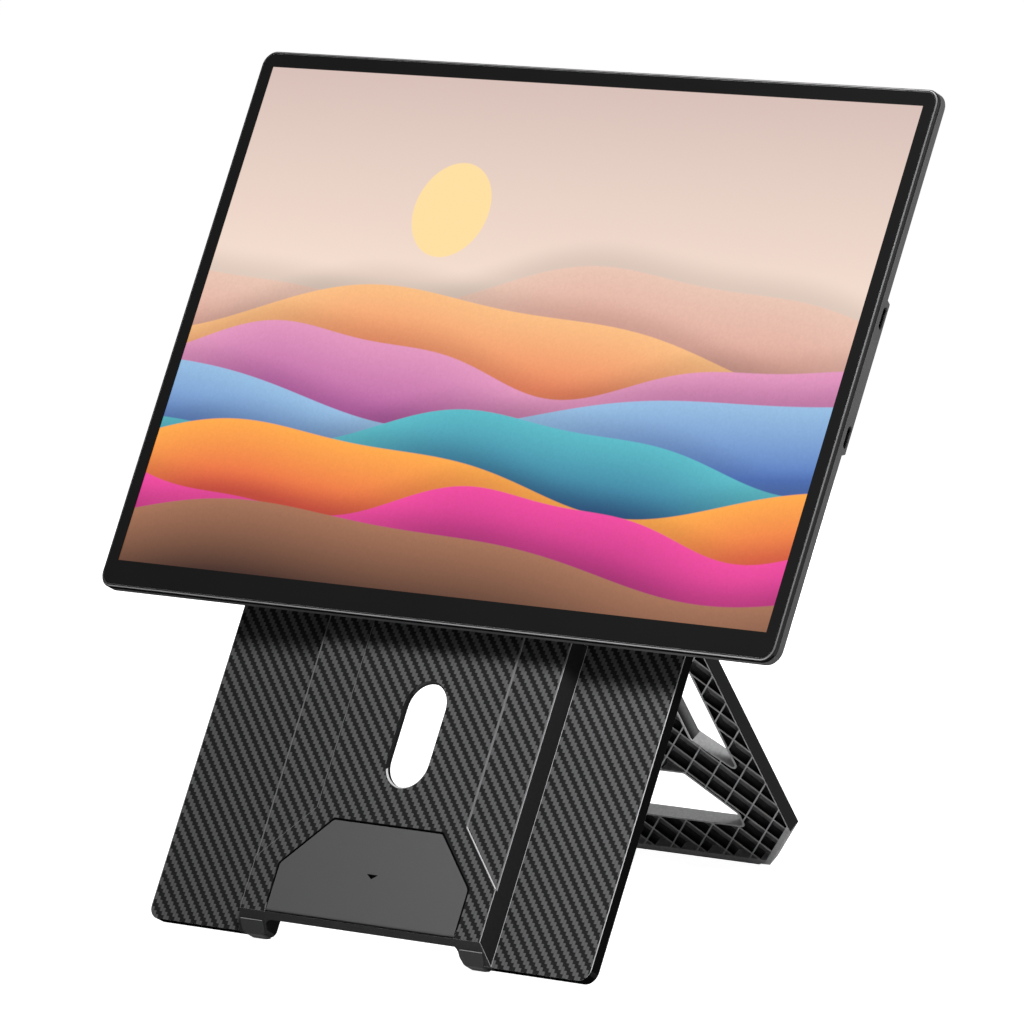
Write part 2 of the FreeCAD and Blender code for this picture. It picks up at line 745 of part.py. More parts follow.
def flap_plate(points, y_back, z_low, radius):
    """Plate with the flap's outline above a level, rounded at its four upper corners."""
    deep = [(x, z if index > 1 else z_low - 2.0 * radius) for index, (x, z) in enumerate(points)]
    return plate_xz(deep, slab_front, y_back, radius).common(
        block((-slab_half_base, slab_half_base), (slab_front, y_back), (z_low, panel_height)))


panel = panel.cut(flap_plate(recess_points, flap_floor_front, slab_foot, flap_corner + flap_gap))
flap_pins = []
for side in (-1, 1):
    start = flap_half - flap_pin_in_flap
    ends = sorted((side * start, side * (start + flap_pin_length)))
    flap_pins.append(rod_x(flap_pin_radius, ends[0], ends[1], flap_axis_y, flap_axis_z))
    panel = panel.cut(rod_x(flap_pin_radius, ends[0], ends[1], flap_axis_y, flap_axis_z))
nodes["flap_pins"] = Part.makeCompound(flap_pins)

# Stop flap: a flat moulding that turns on its pins at the slab's lower edge
flap = flap_plate(flap_points, slab_front + flap_thickness, flap_axis_z, flap_corner)
flap_knuckle = rod_x(flap_thickness / 2.0, -flap_half, flap_half, flap_axis_y, flap_axis_z)
flap = flap.fuse(flap_knuckle).removeSplitter()
for side in (-1, 1):
    ends = sorted((side * (flap_half - flap_pin_in_flap - flap_pin_gap), side * flap_half))
    flap = flap.cut(rod_x(flap_pin_radius + flap_pin_gap, ends[0], ends[1], flap_axis_y, flap_axis_z))
nodes["stop_flap"] = flap

# Leg hinge: saddles in the slab, the shaft in them, caps screwed over it, washers at the leg's head
shaft_half = pocket_half - shaft_end_gap
leg_half = pocket_half - leg_side_gap
leg_head_half = leg_half - leg_shoulder
saddle_inner = leg_head_half + washer_thickness + 2.0 * washer_gap
saddle_low = hinge_height - saddle_height / 2.0
saddle_high = hinge_height + saddle_height / 2.0
cap_back = hinge_y + cap_thickness
saddle = block((saddle_inner, pocket_half), (slab_inside, hinge_y), (saddle_low, saddle_high))
cap = block((saddle_inner, pocket_half - pocket_gap), (hinge_y, cap_back), (saddle_low, saddle_high))
shaft_bore = rod_x(shaft_radius + shaft_gap / 2.0, saddle_inner, pocket_half, hinge_y, hinge_height)
panel = panel.fuse(saddle).cut(shaft_bore)
panel = panel.fuse(mirrored(saddle)).cut(mirrored(shaft_bore))
cap = cap.cut(shaft_bore)
cap_x = (saddle_inner + pocket_half - pocket_gap) / 2.0
cap_screws = []
for side in (-1, 1):
    place = vector(cap_x, cap_back, hinge_height + side * cap_screw_offset)
    length = cap_back - slab_inside
    screw = countersunk(m25_shank, m25_head, m25_head_depth, length, place, -1)
    hole = countersunk(m25_shank + screw_gap, m25_head + screw_gap, m25_head_depth, length, place, -1)
    cap_screws += [screw, mirrored(screw)]
    cap = cap.cut(hole)
    panel = panel.cut(hole).cut(mirrored(hole))
washer = rod_x(washer_radius, leg_head_half + washer_gap, leg_head_half + washer_gap + washer_thickness,
               hinge_y, hinge_height)
washer = washer.cut(rod_x(shaft_radius + shaft_gap, 0.0, pocket_half, hinge_y, hinge_height))
nodes["leg_hinge_shaft"] = rod_x(shaft_radius, -shaft_half, shaft_half, hinge_y, hinge_height)
nodes["hinge_cap_right"] = cap
nodes["hinge_cap_left"] = mirrored(cap)
nodes["hinge_cap_screws"] = Part.makeCompound(cap_screws)
nodes["hinge_washers"] = Part.makeCompound([washer, mirrored(washer)])

# Hinge cover: a thin plate at the back, above the hinge, whose lower edge stops the open leg
hinge_cover_front = leg_outer + hinge_cover_gap
hinge_cover_low = hinge_height + hinge_cover_lap
cover_boss_z = (saddle_high + pocket_top) / 2.0
hinge_cover = block((pocket_gap - pocket_half, pocket_half - pocket_gap), (hinge_cover_front, panel_back),
                    (hinge_cover_low, pocket_top - cover_gap))
hinge_cover_screws = []
for x in (cover_screw_side - pocket_half, pocket_half - cover_screw_side):
    panel = panel.fuse(rod_y(cover_boss, slab_inside, hinge_cover_front, x, cover_boss_z))
    place = vector(x, panel_back, cover_boss_z)
    length = panel_back - slab_inside - slab_wall
    hinge_cover_screws.append(
        countersunk(m25_shank, m25_head, panel_back - hinge_cover_front, length, place, -1))
    hole = countersunk(
        m25_shank + screw_gap, m25_head + screw_gap, panel_back - hinge_cover_front, length, place, -1)
    hinge_cover = hinge_cover.cut(hole)
    panel = panel.cut(hole)
nodes["hinge_cover"] = hinge_cover
nodes["hinge_cover_screws"] = Part.makeCompound(hinge_cover_screws)

# Back covers: flat plates let into the backs of the wings
cover_seat_low = slab_half_base + panel_rim
cover_seat_high = wing_half - panel_rim
seat_points = [(cover_seat_low, panel_rim), (cover_seat_high, panel_rim),
               (cover_seat_high, panel_height - panel_rim), (cover_seat_low, panel_height - panel_rim)]
seat = plate_xz(seat_points, wing_skin, panel_back, panel_corner - panel_rim)
wing_cover = plate_xz(grown(seat_points, -cover_gap), wing_skin, panel_back, panel_corner - panel_rim)
panel = panel.cut(seat).cut(mirrored(seat))
wing_screws = []
for x in (cover_seat_low + cover_screw_inset_x, cover_seat_high - cover_screw_inset_x):
    for z in (cover_screw_inset_z, panel_height - cover_screw_inset_z):
        place = vector(x, panel_back, z)
        length = back_cover + wing_skin / 2.0
        screw = countersunk(m25_shank, m25_head, m25_head_depth, length, place, -1)
        hole = countersunk(m25_shank + screw_gap, m25_head + screw_gap, m25_head_depth, length, place, -1)
        wing_screws += [screw, mirrored(screw)]
        wing_cover = wing_cover.cut(hole)
        panel = panel.cut(hole).cut(mirrored(hole))
nodes["wing_back_cover_right"] = wing_cover
nodes["wing_back_cover_left"] = mirrored(wing_cover)
nodes["back_cover_screws"] = Part.makeCompound(wing_screws)
nodes["stand_panel"] = panel.removeSplitter()


# Rear leg, drawn folded: a tray with a grid of diagonal ribs, open towards the panel
def leg_z(above_end):
    """Height of a point of the folded leg, counted up from the leg's end."""
    return hinge_height - leg_length + above_end


rail_inner = leg_half - rail_width
hub_half = rail_inner - upper_window_width
lower_window_half = leg_half - lower_window_inset
lower_window_half_top = lower_window_half - lower_window_taper
leg_top = leg_z(leg_length + leg_heel)
neck_low = leg_z(leg_length - leg_head)
leg_right = [(leg_half - leg_chamfer, leg_z(0.0)), (leg_half, leg_z(leg_chamfer)),
             (leg_half, neck_low - leg_shoulder), (leg_head_half, neck_low), (leg_head_half, leg_top)]
leg_points = [(-x, z) for x, z in reversed(leg_right)] + leg_right
upper_window_high = leg_z(leg_length - upper_window_top)
upper_window = [(hub_half, leg_z(brace_inner)), (rail_inner, leg_z(brace_outer)),
                (rail_inner, upper_window_high), (hub_half, upper_window_high)]
upper_window_left = [(-x, z) for x, z in upper_window]
lower_right = [(lower_window_half, leg_z(leg_bar)), (lower_window_half, leg_z(lower_window_tip)),
               (lower_window_half_top, leg_z(lower_window_top))]
lower_window = lower_right + [(-x, z) for x, z in reversed(lower_right)]
windows = (upper_window, upper_window_left, lower_window)
cell_back = leg_outer - leg_skin
leg_face = sheet_xz(leg_points, rib_face)
rib_region = sheet_xz(grown(leg_points, -leg_side_rim), rib_face)
rim_extra = leg_rim - leg_side_rim
end_right = [(leg_half - leg_chamfer, leg_z(0.0)), (leg_half + rim_extra, leg_z(leg_chamfer + rim_extra)),
             (leg_half + rim_extra, leg_top)]
end_points = [(-x, z) for x, z in reversed(end_right)] + end_right
rib_region = rib_region.common(sheet_xz(grown(end_points, -leg_rim), rib_face))
head_range = rectangle(leg_half, leg_z(leg_length - solid_head), leg_top)
rib_region = rib_region.cut(sheet_xz(head_range, rib_face))
for window in windows:
    leg_face = leg_face.cut(sheet_xz(window, rib_face, window_corner))
    rib_region = rib_region.cut(sheet_xz(grown(window, window_wall), rib_face, window_corner + window_wall))
skin = leg_face.translated(vector(0, cell_back - rib_face, 0)).extrude(vector(0, leg_skin, 0))

# The ribs are what is left between square cells that stand on their corners
cell_step = rib_pitch / math.sqrt(2.0)
cell_reach = (rib_pitch - rib_thickness) / math.sqrt(2.0)
cell_rows = int((leg_length + leg_half) / cell_step)
cell_sheets = []
for row in range(-cell_rows, cell_rows + 1):
    for column in range(-cell_rows, cell_rows + 1):
        x = rib_start + (row + column) * cell_step
        z = leg_z(rib_start_height) + (row - column) * cell_step
        if abs(x) < leg_half + cell_reach and leg_z(-cell_reach) < z < leg_z(leg_length + cell_reach):
            cell = [(x - cell_reach, z), (x, z - cell_reach), (x + cell_reach, z), (x, z + cell_reach)]
            cell_sheets.append(sheet_xz(cell, rib_face))
cells = rib_region.common(Part.makeCompound(cell_sheets))
cells = Part.makeCompound([face for face in cells.Faces if face.Area > rib_thickness * cell_reach])
leg = leg_face.cut(cells).extrude(vector(0, cell_back - rib_face, 0)).fuse(skin)
leg = leg.cut(rod_x(shaft_radius + shaft_gap, -leg_half, leg_half, hinge_y, hinge_height))
nodes["support_leg"] = leg.removeSplitter()

# Ground: the line through the front feet and the open leg's end gives the lean of the whole
opening = math.radians(leg_opening)
leg_along = (math.sin(opening), -math.cos(opening))
leg_across = (-math.cos(opening), -math.sin(opening))
half_thick = leg_thickness / 2.0
leg_contact = [axis + (leg_length + leg_pad) * along + half_thick * across
               for axis, along, across in zip((hinge_y, hinge_height), leg_along, leg_across)]
foot_contact = (panel_back, -ground_drop)
lean = math.atan2(leg_contact[1] - foot_contact[1], leg_contact[0] - foot_contact[0])


def ground_at(y):
    """Height of the ground below the upright panel at a depth y."""
    return foot_contact[1] + (y - foot_contact[0]) * math.tan(lean)


# Leg foot pad: a rubber wedge under the leg's end, flat on the ground when the leg is open
pad_slope = math.tan(opening - lean)
leg_end = leg_z(0.0)
leg_pad_half = leg_half - leg_chamfer - leg_pad_inset
pad_section = [(rib_face, leg_end), (leg_outer, leg_end),
               (leg_outer, leg_end - leg_pad - leg_thickness * pad_slope), (rib_face, leg_end - leg_pad)]
nodes["leg_foot_pad"] = bar_yz(pad_section, -leg_pad_half, leg_pad_half)

# Rubber feet: a strip on the slope of each lower corner of the slab, wrapped under the panel
slope_length = math.hypot(slab_rise, slab_foot - slab_end)
slope_along = (slab_rise / slope_length, (slab_end - slab_foot) / slope_length)


def on_slope(run, proud):
    """Point a way down the slab's sloped end and a height off it."""
    return (slab_front + slope_along[0] * run + slope_along[1] * proud,
            slab_foot + slope_along[1] * run - slope_along[0] * proud)


strip_run = (slab_foot + foot_drop - slope_along[0] * foot_proud) / -slope_along[1]
heel_front = panel_back - foot_heel
foot_points = [on_slope(foot_setback, foot_proud), on_slope(strip_run, foot_proud),
               (heel_front, ground_at(heel_front)), (panel_back, ground_at(panel_back)),
               (panel_back, -foot_gap), (-foot_gap, -foot_gap),
               on_slope(slope_length, foot_gap), on_slope(foot_setback, foot_gap)]
foot_outer = slab_half_base - foot_inset
foot_inner = foot_outer - foot_width
foot_low = ground_at(heel_front)
foot_outline = [(foot_inner, foot_low), (foot_outer, foot_low), (foot_outer, slab_foot + foot_round),
                (foot_inner, slab_foot + foot_round)]
foot = bar_yz(foot_points, foot_inner, foot_outer).common(
    plate_xz(foot_outline, slab_front, panel_back, foot_round))
nodes["foot_pad_right"] = foot
nodes["foot_pad_left"] = mirrored(foot)

# Pose: the leg is opened about its shaft, then all is leaned back and set on the ground
hinge_axis = vector(0, hinge_y, hinge_height)
across_axis = vector(1, 0, 0)
open_turn = FreeCAD.Placement(vector(0, 0, 0), FreeCAD.Rotation(across_axis, leg_opening), hinge_axis)
lean_back = FreeCAD.Placement(vector(0, 0, 0), FreeCAD.Rotation(across_axis, -math.degrees(lean)))
leg_nodes = ("support_leg", "leg_foot_pad")
posed = {}
for name, shape in nodes.items():
    turn = lean_back.multiply(open_turn) if name in leg_nodes else lean_back
    posed[name] = shape.transformed(turn.toMatrix(), True)
boxes = [shape.optimalBoundingBox(False, False) for shape in posed.values()]
front_edge = min(box.YMin for box in boxes)
back_edge = max(box.YMax for box in boxes)
ground = min(box.ZMin for box in boxes)
to_origin = FreeCAD.Placement(vector(0, -(front_edge + back_edge) / 2.0, -ground), FreeCAD.Rotation())

os.makedirs("parts", exist_ok=True)
for name, shape in posed.items():
    shape.transformed(to_origin.toMatrix(), True).exportStep("parts/" + name + ".step")
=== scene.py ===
import bpy
import bmesh
import json
import math
from mathutils import Euler, Matrix, Vector


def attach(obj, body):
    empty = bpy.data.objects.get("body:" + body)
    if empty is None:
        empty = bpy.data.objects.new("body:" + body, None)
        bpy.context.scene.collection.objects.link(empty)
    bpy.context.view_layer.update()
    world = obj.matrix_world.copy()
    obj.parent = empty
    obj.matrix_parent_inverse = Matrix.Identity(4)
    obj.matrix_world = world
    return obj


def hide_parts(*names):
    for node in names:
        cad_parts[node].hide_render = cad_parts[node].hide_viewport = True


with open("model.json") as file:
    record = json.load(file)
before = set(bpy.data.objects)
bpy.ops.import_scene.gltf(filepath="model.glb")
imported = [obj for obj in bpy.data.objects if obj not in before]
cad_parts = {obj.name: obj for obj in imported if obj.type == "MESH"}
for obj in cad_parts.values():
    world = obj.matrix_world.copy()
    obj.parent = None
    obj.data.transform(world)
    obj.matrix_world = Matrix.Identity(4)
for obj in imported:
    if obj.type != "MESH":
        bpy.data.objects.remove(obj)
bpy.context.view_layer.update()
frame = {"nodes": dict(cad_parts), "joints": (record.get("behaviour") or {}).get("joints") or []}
nodes = frame["nodes"]

# Stand panel
# One thin moulding of black plastic with two wings and a raised hollow slab, its front faced with a
# printed carbon weave. Everything else hangs on it: the leg in its back, the flap and the feet in
# its lower end, the slide on its slab.
joints = {joint["name"]: joint for joint in frame["joints"]}

# Places on the panel are in metres, as if it stood upright: X across, Y back from the wings' front
# and Z up from its foot. Its lean is the way the slide runs, and its seat follows from the leg's hinge.
slide_way = Vector(joints["height_slide"]["axis"])
LEAN = math.atan2(-slide_way.y, -slide_way.z)
HINGE = Vector((0.0, 0.00046, 0.1981))
SEAT = HINGE - Matrix.Rotation(LEAN, 3, "X") @ Vector(joints["leg_fold"]["pos_m"])
FRONT = Vector((0.0, -math.cos(LEAN), math.sin(LEAN)))


def plain_mesh(piece):
    """Turns a piece with modifiers into a plain mesh."""
    graph = bpy.context.evaluated_depsgraph_get()
    made = bpy.data.meshes.new_from_object(piece.evaluated_get(graph))
    piece.modifiers.clear()
    piece.data = made


def added(name, data):
    """New object in the scene, at the origin."""
    thing = bpy.data.objects.new(name, data)
    bpy.context.scene.collection.objects.link(thing)
    return thing


def stand_in(piece, node, body):
    """Makes a piece ride on a body in place of a CAD node."""
    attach(piece, body)
    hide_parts(node)


def welded(node):
    """Copy of a CAD node's mesh with its loose triangles joined at their corners."""
    corner_gap = 2e-6
    shell = bmesh.new()
    shell.from_mesh(nodes[node].data)
    bmesh.ops.remove_doubles(shell, verts=shell.verts, dist=corner_gap)
    return shell


def eased(node, body, finish, width, cuts=()):
    """A moulding with its sharp edges broken by a small round, in place of the sharp CAD piece.

    Faces are parted at the cuts along X first, so that none wraps round a narrow strip.
    """
    flat_angle = math.radians(0.4)
    edge_angle = math.radians(35.0)
    crease_angle = math.radians(40.0)
    round_segments = 2
    shell = welded(node)
    bmesh.ops.dissolve_limit(shell, angle_limit=flat_angle, verts=shell.verts, edges=shell.edges)
    for cut in cuts:
        whole = [*shell.verts, *shell.edges, *shell.faces]
        bmesh.ops.bisect_plane(shell, geom=whole, plane_co=(cut, 0.0, 0.0), plane_no=(1.0, 0.0, 0.0))
    mesh = bpy.data.meshes.new(node + "_eased")
    shell.to_mesh(mesh)
    shell.free()
    piece = added(node + "_eased", mesh)
    broken = piece.modifiers.new("broken_edges", "BEVEL")
    broken.width = width
    broken.segments = round_segments
    broken.limit_method = "ANGLE"
    broken.angle_limit = edge_angle
    broken.use_clamp_overlap = False
    plain_mesh(piece)
    piece.data.shade_smooth()
    piece.data.set_sharp_from_angle(angle=crease_angle)
    flat = piece.modifiers.new("flat_faces", "WEIGHTED_NORMAL")
    flat.keep_sharp = True
    plain_mesh(piece)
    piece.data.materials.clear()
    piece.data.materials.append(finish)
    stand_in(piece, node, body)


def new_finish(name, roughness, specular):
    """Material with its node tree and shader."""
    material = bpy.data.materials.new(name)
    material.use_nodes = True
    shader = material.node_tree.nodes["Principled BSDF"]
    shader.inputs["Roughness"].default_value = roughness
    shader.inputs["Specular IOR Level"].default_value = specular
    return material, material.node_tree, shader


def calc(tree, operation, *values):
    """Math node on sockets and numbers."""
    node = tree.nodes.new("ShaderNodeMath")
    node.operation = operation
    for socket, value in zip(node.inputs, values):
        if isinstance(value, bpy.types.NodeSocket):
            tree.links.new(value, socket)
        else:
            socket.default_value = value
    return node.outputs["Value"]


def above(tree, value, limit):
    """Mask that is one where a value is over a limit, else zero."""
    return calc(tree, "GREATER_THAN", value, limit)


def under(tree, value, limit):
    """Mask that is one where a value is under a limit, else zero."""
    return calc(tree, "LESS_THAN", value, limit)


def both(tree, mask, *others):
    """Mask that is one where all the given ones are."""
    for other in others:
        mask = calc(tree, "MULTIPLY", mask, other)
    return mask


def either(tree, mask, other):
    """Mask that is one where either of the two is."""
    return calc(tree, "MAXIMUM", mask, other)


def outside(tree, mask):
    """Mask that is one where the given one is zero."""
    return calc(tree, "SUBTRACT", 1.0, mask)


def between(tree, value, low, high):
    """Mask that is one where a value lies between two limits, else zero."""
    return both(tree, above(tree, value, low), under(tree, value, high))


def picked(tree, mask, inside, elsewhere):
    """One value where a mask is one, and another where it is zero."""
    return calc(tree, "ADD", calc(tree, "MULTIPLY", mask, inside),
                calc(tree, "MULTIPLY", outside(tree, mask), elsewhere))


def ranged(tree, share, low, high):
    """Value that runs from low to high as a share runs from zero to one."""
    return calc(tree, "MULTIPLY_ADD", share, high - low, low)


def mixed(tree, share, first, second):
    """Mix of two colours by a share."""
    node = tree.nodes.new("ShaderNodeMix")
    node.data_type = "RGBA"
    sockets = {socket.identifier: socket for socket in node.inputs}
    tree.links.new(share, sockets["Factor_Float"])
    for identifier, value in (("A_Color", first), ("B_Color", second)):
        if isinstance(value, bpy.types.NodeSocket):
            tree.links.new(value, sockets[identifier])
        else:
            sockets[identifier].default_value = (*value, 1.0)
    return next(socket for socket in node.outputs if socket.identifier == "Result_Color")


def scaled(tree, colour, share):
    """Colour made lighter or darker by a share."""
    node = tree.nodes.new("ShaderNodeVectorMath")
    node.operation = "SCALE"
    if isinstance(colour, bpy.types.NodeSocket):
        tree.links.new(colour, node.inputs[0])
    else:
        node.inputs[0].default_value = colour
    tree.links.new(share, node.inputs["Scale"])
    return node.outputs["Vector"]


def place_on(tree, turn=LEAN, seat=SEAT):
    """Place on a piece with Z running up its length, in metres, whole and by axis."""
    source = tree.nodes.new("ShaderNodeTexCoord")
    mapping = tree.nodes.new("ShaderNodeMapping")
    mapping.inputs["Rotation"].default_value = (turn, 0.0, 0.0)
    mapping.inputs["Location"].default_value = seat
    tree.links.new(source.outputs["Object"], mapping.inputs["Vector"])
    split = tree.nodes.new("ShaderNodeSeparateXYZ")
    tree.links.new(mapping.outputs["Vector"], split.inputs["Vector"])
    return mapping.outputs["Vector"], split.outputs


def facing_on(tree, turn=LEAN):
    """Direction a surface faces, by axis, with Z running up the piece's length."""
    source = tree.nodes.new("ShaderNodeTexCoord")
    mapping = tree.nodes.new("ShaderNodeMapping")
    mapping.vector_type = "VECTOR"
    mapping.inputs["Rotation"].default_value = (turn, 0.0, 0.0)
    tree.links.new(source.outputs["Normal"], mapping.inputs["Vector"])
    split = tree.nodes.new("ShaderNodeSeparateXYZ")
    tree.links.new(mapping.outputs["Vector"], split.inputs["Vector"])
    return split.outputs


def grain(tree, place, size, stretch=(1.0, 1.0, 1.0), detail=2.0):
    """Fine noise of a given size in metres, longer along an axis where it is stretched."""
    mapping = tree.nodes.new("ShaderNodeMapping")
    mapping.inputs["Scale"].default_value = [1.0 / (size * share) for share in stretch]
    tree.links.new(place, mapping.inputs["Vector"])
    noise = tree.nodes.new("ShaderNodeTexNoise")
    noise.inputs["Scale"].default_value = 1.0
    noise.inputs["Detail"].default_value = detail
    tree.links.new(mapping.outputs["Vector"], noise.inputs["Vector"])
    return noise.outputs["Fac"]


def relief(tree, shader, height, depth):
    """Raised pattern on the shader's surface, of a given depth in metres."""
    bump = tree.nodes.new("ShaderNodeBump")
    bump.inputs["Strength"].default_value = 0.4
    bump.inputs["Distance"].default_value = depth
    tree.links.new(height, bump.inputs["Height"])
    tree.links.new(bump.outputs["Normal"], shader.inputs["Normal"])


def twill(tree, place, at):
    """Two-by-two twill: its colour, how far each tow stands up, and the strands along it."""
    tow = 0.001522
    first_column = 0.0005
    first_row = 0.00015
    repeat = 4.0
    tows_over = 2.0
    bulge = 1.2
    strand_width = 0.00012
    strand_stretch = 14.0
    light_tow = (0.100, 0.100, 0.102)
    dark_tow = (0.0155, 0.0155, 0.0158)
    column = calc(tree, "DIVIDE", calc(tree, "SUBTRACT", at["X"], first_column), tow)
    row = calc(tree, "DIVIDE", calc(tree, "SUBTRACT", at["Z"], first_row), tow)
    step = calc(tree, "ADD", calc(tree, "FLOOR", column), calc(tree, "FLOOR", row))
    upright = under(tree, calc(tree, "FLOORED_MODULO", step, repeat), tows_over - 0.5)
    from_middle = picked(tree, upright, calc(tree, "SUBTRACT", calc(tree, "FRACT", column), 0.5),
                         calc(tree, "SUBTRACT", calc(tree, "FRACT", row), 0.5))
    sag = calc(tree, "MULTIPLY", from_middle, from_middle)
    crown = calc(tree, "MULTIPLY_ADD", sag, -bulge, 1.0)
    strand = picked(tree, upright, grain(tree, place, strand_width, (1.0, 1.0, strand_stretch)),
                    grain(tree, place, strand_width, (strand_stretch, 1.0, 1.0)))
    tone = calc(tree, "MULTIPLY", crown, ranged(tree, strand, 0.75, 1.25))
    return scaled(tree, mixed(tree, upright, dark_tow, light_tow), tone), crown, strand


def panel_masks(tree, at, facing):
    """Where the panel's print, painted highlights, painted gap shade and bare walls lie, by name.

    The first limits are on the way a surface faces, as cosines, and the rest are sizes and places.
    """
    flat_front = -0.93
    rounded_front = -0.55
    not_below = -0.45
    well_below = -0.5
    slot_shaded = 0.25
    wing_edge = 0.1174
    print_back = 0.0005
    slab_edge = 0.064
    slab_base = 0.0676
    slab_foot = 0.0079
    slot_half = 0.012
    slot_low = 0.064
    slot_high = 0.109
    track_inner = 0.040
    track_knee = 0.05235
    track_slope = 0.96
    track_front = -0.0059
    bay_half = 0.0510
    bay_top = 0.0492
    bay_foot = 0.0115
    bay_shoulder = -0.01355
    line_width = 0.0004
    side = calc(tree, "ABSOLUTE", at["X"])
    past_knee = calc(tree, "SUBTRACT", calc(tree, "MULTIPLY_ADD", side, track_slope, at["Z"]),
                     track_knee + track_slope * track_inner)

    # The print covers the slab and the wings, but not the lip at the slab's foot.
    on_slab = under(tree, at["Y"], track_front)
    on_wings = between(tree, at["Y"], -print_back, print_back)
    on_lip = both(tree, under(tree, at["Z"], slab_foot), under(tree, at["Y"], -print_back))
    front = both(tree, under(tree, facing["Y"], flat_front), either(tree, on_slab, on_wings),
                 outside(tree, on_lip))

    # Rounded edges are painted bright as a painted highlight, except at the shaded end of the slot.
    slot_shade = both(tree, under(tree, side, slot_half), between(tree, at["Z"], slot_low, slot_high),
                      under(tree, facing["Z"], slot_shaded))
    rounded = both(tree, between(tree, facing["Y"], flat_front, rounded_front),
                   under(tree, at["Y"], print_back), above(tree, facing["Z"], not_below),
                   outside(tree, slot_shade))
    wing_line = both(tree, front, above(tree, side, wing_edge - line_width))

    # A track ends below in a sloped step wall painted bright, and painted highlight lines follow its
    # sides.
    step_wall = both(tree, between(tree, side, track_inner, slab_edge - line_width),
                     between(tree, past_knee, -line_width, line_width), outside(tree, front), on_slab)
    inner_side = both(tree, between(tree, side, track_inner - line_width, track_inner + line_width),
                      above(tree, at["Z"], track_knee))
    inner_line = both(tree, inner_side, under(tree, side, track_inner + line_width / 2.0))
    knee_line = both(tree, between(tree, past_knee, -line_width, 0.0),
                     between(tree, side, track_inner, slab_edge))
    side_line = between(tree, side, slab_edge - line_width, slab_edge + line_width)
    front_lines = both(tree, either(tree, side_line, knee_line), front)
    rubbed_and_highlighted = both(tree, either(tree, rounded, wing_line), outside(tree, inner_side))

    # The flap's bay has shoulders parallel to the steps of the tracks. The wings' walls stay bare.
    # The bay's surfaces are painted near-black as painted shade in the gap round the flap.
    bay = both(tree, under(tree, side, bay_half), between(tree, at["Z"], bay_foot, bay_top),
               under(tree, past_knee, bay_shoulder), on_slab)
    slope = under(tree, facing["Z"], well_below)
    # The wings' outer walls and underside are painted near-black as painted shade.
    wing_wall = either(tree, above(tree, side, wing_edge - line_width / 4.0),
                       both(tree, slope, above(tree, side, slab_base)))
    return {
        "front": front,
        "slope": slope,
        "wing wall": wing_wall,
        "line": both(tree, either(tree, front_lines, inner_line), on_slab),
        "edge": either(tree, rubbed_and_highlighted, step_wall),
        "bay": bay}


def weave_finish():
    """Twill print on the front faces with painted highlights and shade, and plain moulding on walls and
    back.
    """
    wall = (0.011, 0.011, 0.0115)
    # Painted shade: the wings' outer walls and underside are near-black, darker than the slab's walls.
    painted_shade_wing_side = (0.003, 0.003, 0.003)
    slope = (0.040, 0.040, 0.041)
    # Painted highlights: bright rounded edges and step walls, and fine light lines along edges and
    # tracks.
    painted_edge_highlight = (0.42, 0.42, 0.43)
    painted_line_highlight = (0.15, 0.15, 0.153)
    # Painted shade: near-black in the flap's gap.
    painted_gap_shade = (0.003, 0.003, 0.003)
    dust_size = 0.0009
    edge_polish = 0.18
    front_lacquer = 0.06
    back_lacquer = 0.5
    backward = 0.5
    weave_depth = 0.00004
    material, tree, shader = new_finish("carbon_weave_print", roughness=0.4, specular=0.0)
    shader.inputs["Coat Roughness"].default_value = 0.35
    place, at = place_on(tree)
    facing = facing_on(tree)
    masks = panel_masks(tree, at, facing)
    weave, crown, strand = twill(tree, place, at)
    dust = ranged(tree, grain(tree, place, dust_size), 0.8, 1.2)
    plain = mixed(tree, masks["wing wall"], mixed(tree, masks["slope"], wall, slope), painted_shade_wing_side)
    colour = mixed(tree, masks["front"], scaled(tree, plain, dust), weave)
    # Painted highlight lines, then painted bright edges, then painted shade in the flap's gap.
    colour = mixed(tree, masks["line"], colour, painted_line_highlight)
    colour = mixed(tree, masks["edge"], colour, painted_edge_highlight)
    colour = mixed(tree, masks["bay"], colour, painted_gap_shade)
    tree.links.new(colour, shader.inputs["Base Color"])
    gloss = calc(tree, "MULTIPLY_ADD", masks["edge"], -edge_polish, ranged(tree, strand, 0.36, 0.46))
    tree.links.new(gloss, shader.inputs["Roughness"])
    behind = above(tree, facing["Y"], backward)
    lacquer = calc(tree, "MULTIPLY_ADD", behind, back_lacquer,
                   calc(tree, "MULTIPLY", masks["front"], front_lacquer))
    tree.links.new(lacquer, shader.inputs["Coat Weight"])
    height = calc(tree, "ADD", calc(tree, "MULTIPLY", masks["front"], crown), dust)
    relief(tree, shader, height, weave_depth)
    return material


half_cuts = (0.049, 0.0512, 0.0515, 0.0665)
bay_cuts = (*(-cut for cut in reversed(half_cuts)), *half_cuts)
eased("stand_panel", "stand", weave_finish(), width=0.00014, cuts=bay_cuts)

# Wing back covers
# Two flat covers of black plastic that close the backs of the wings, moulded with a fine spark
# texture and held by four screws each.
COVER_ROUND = 0.00015


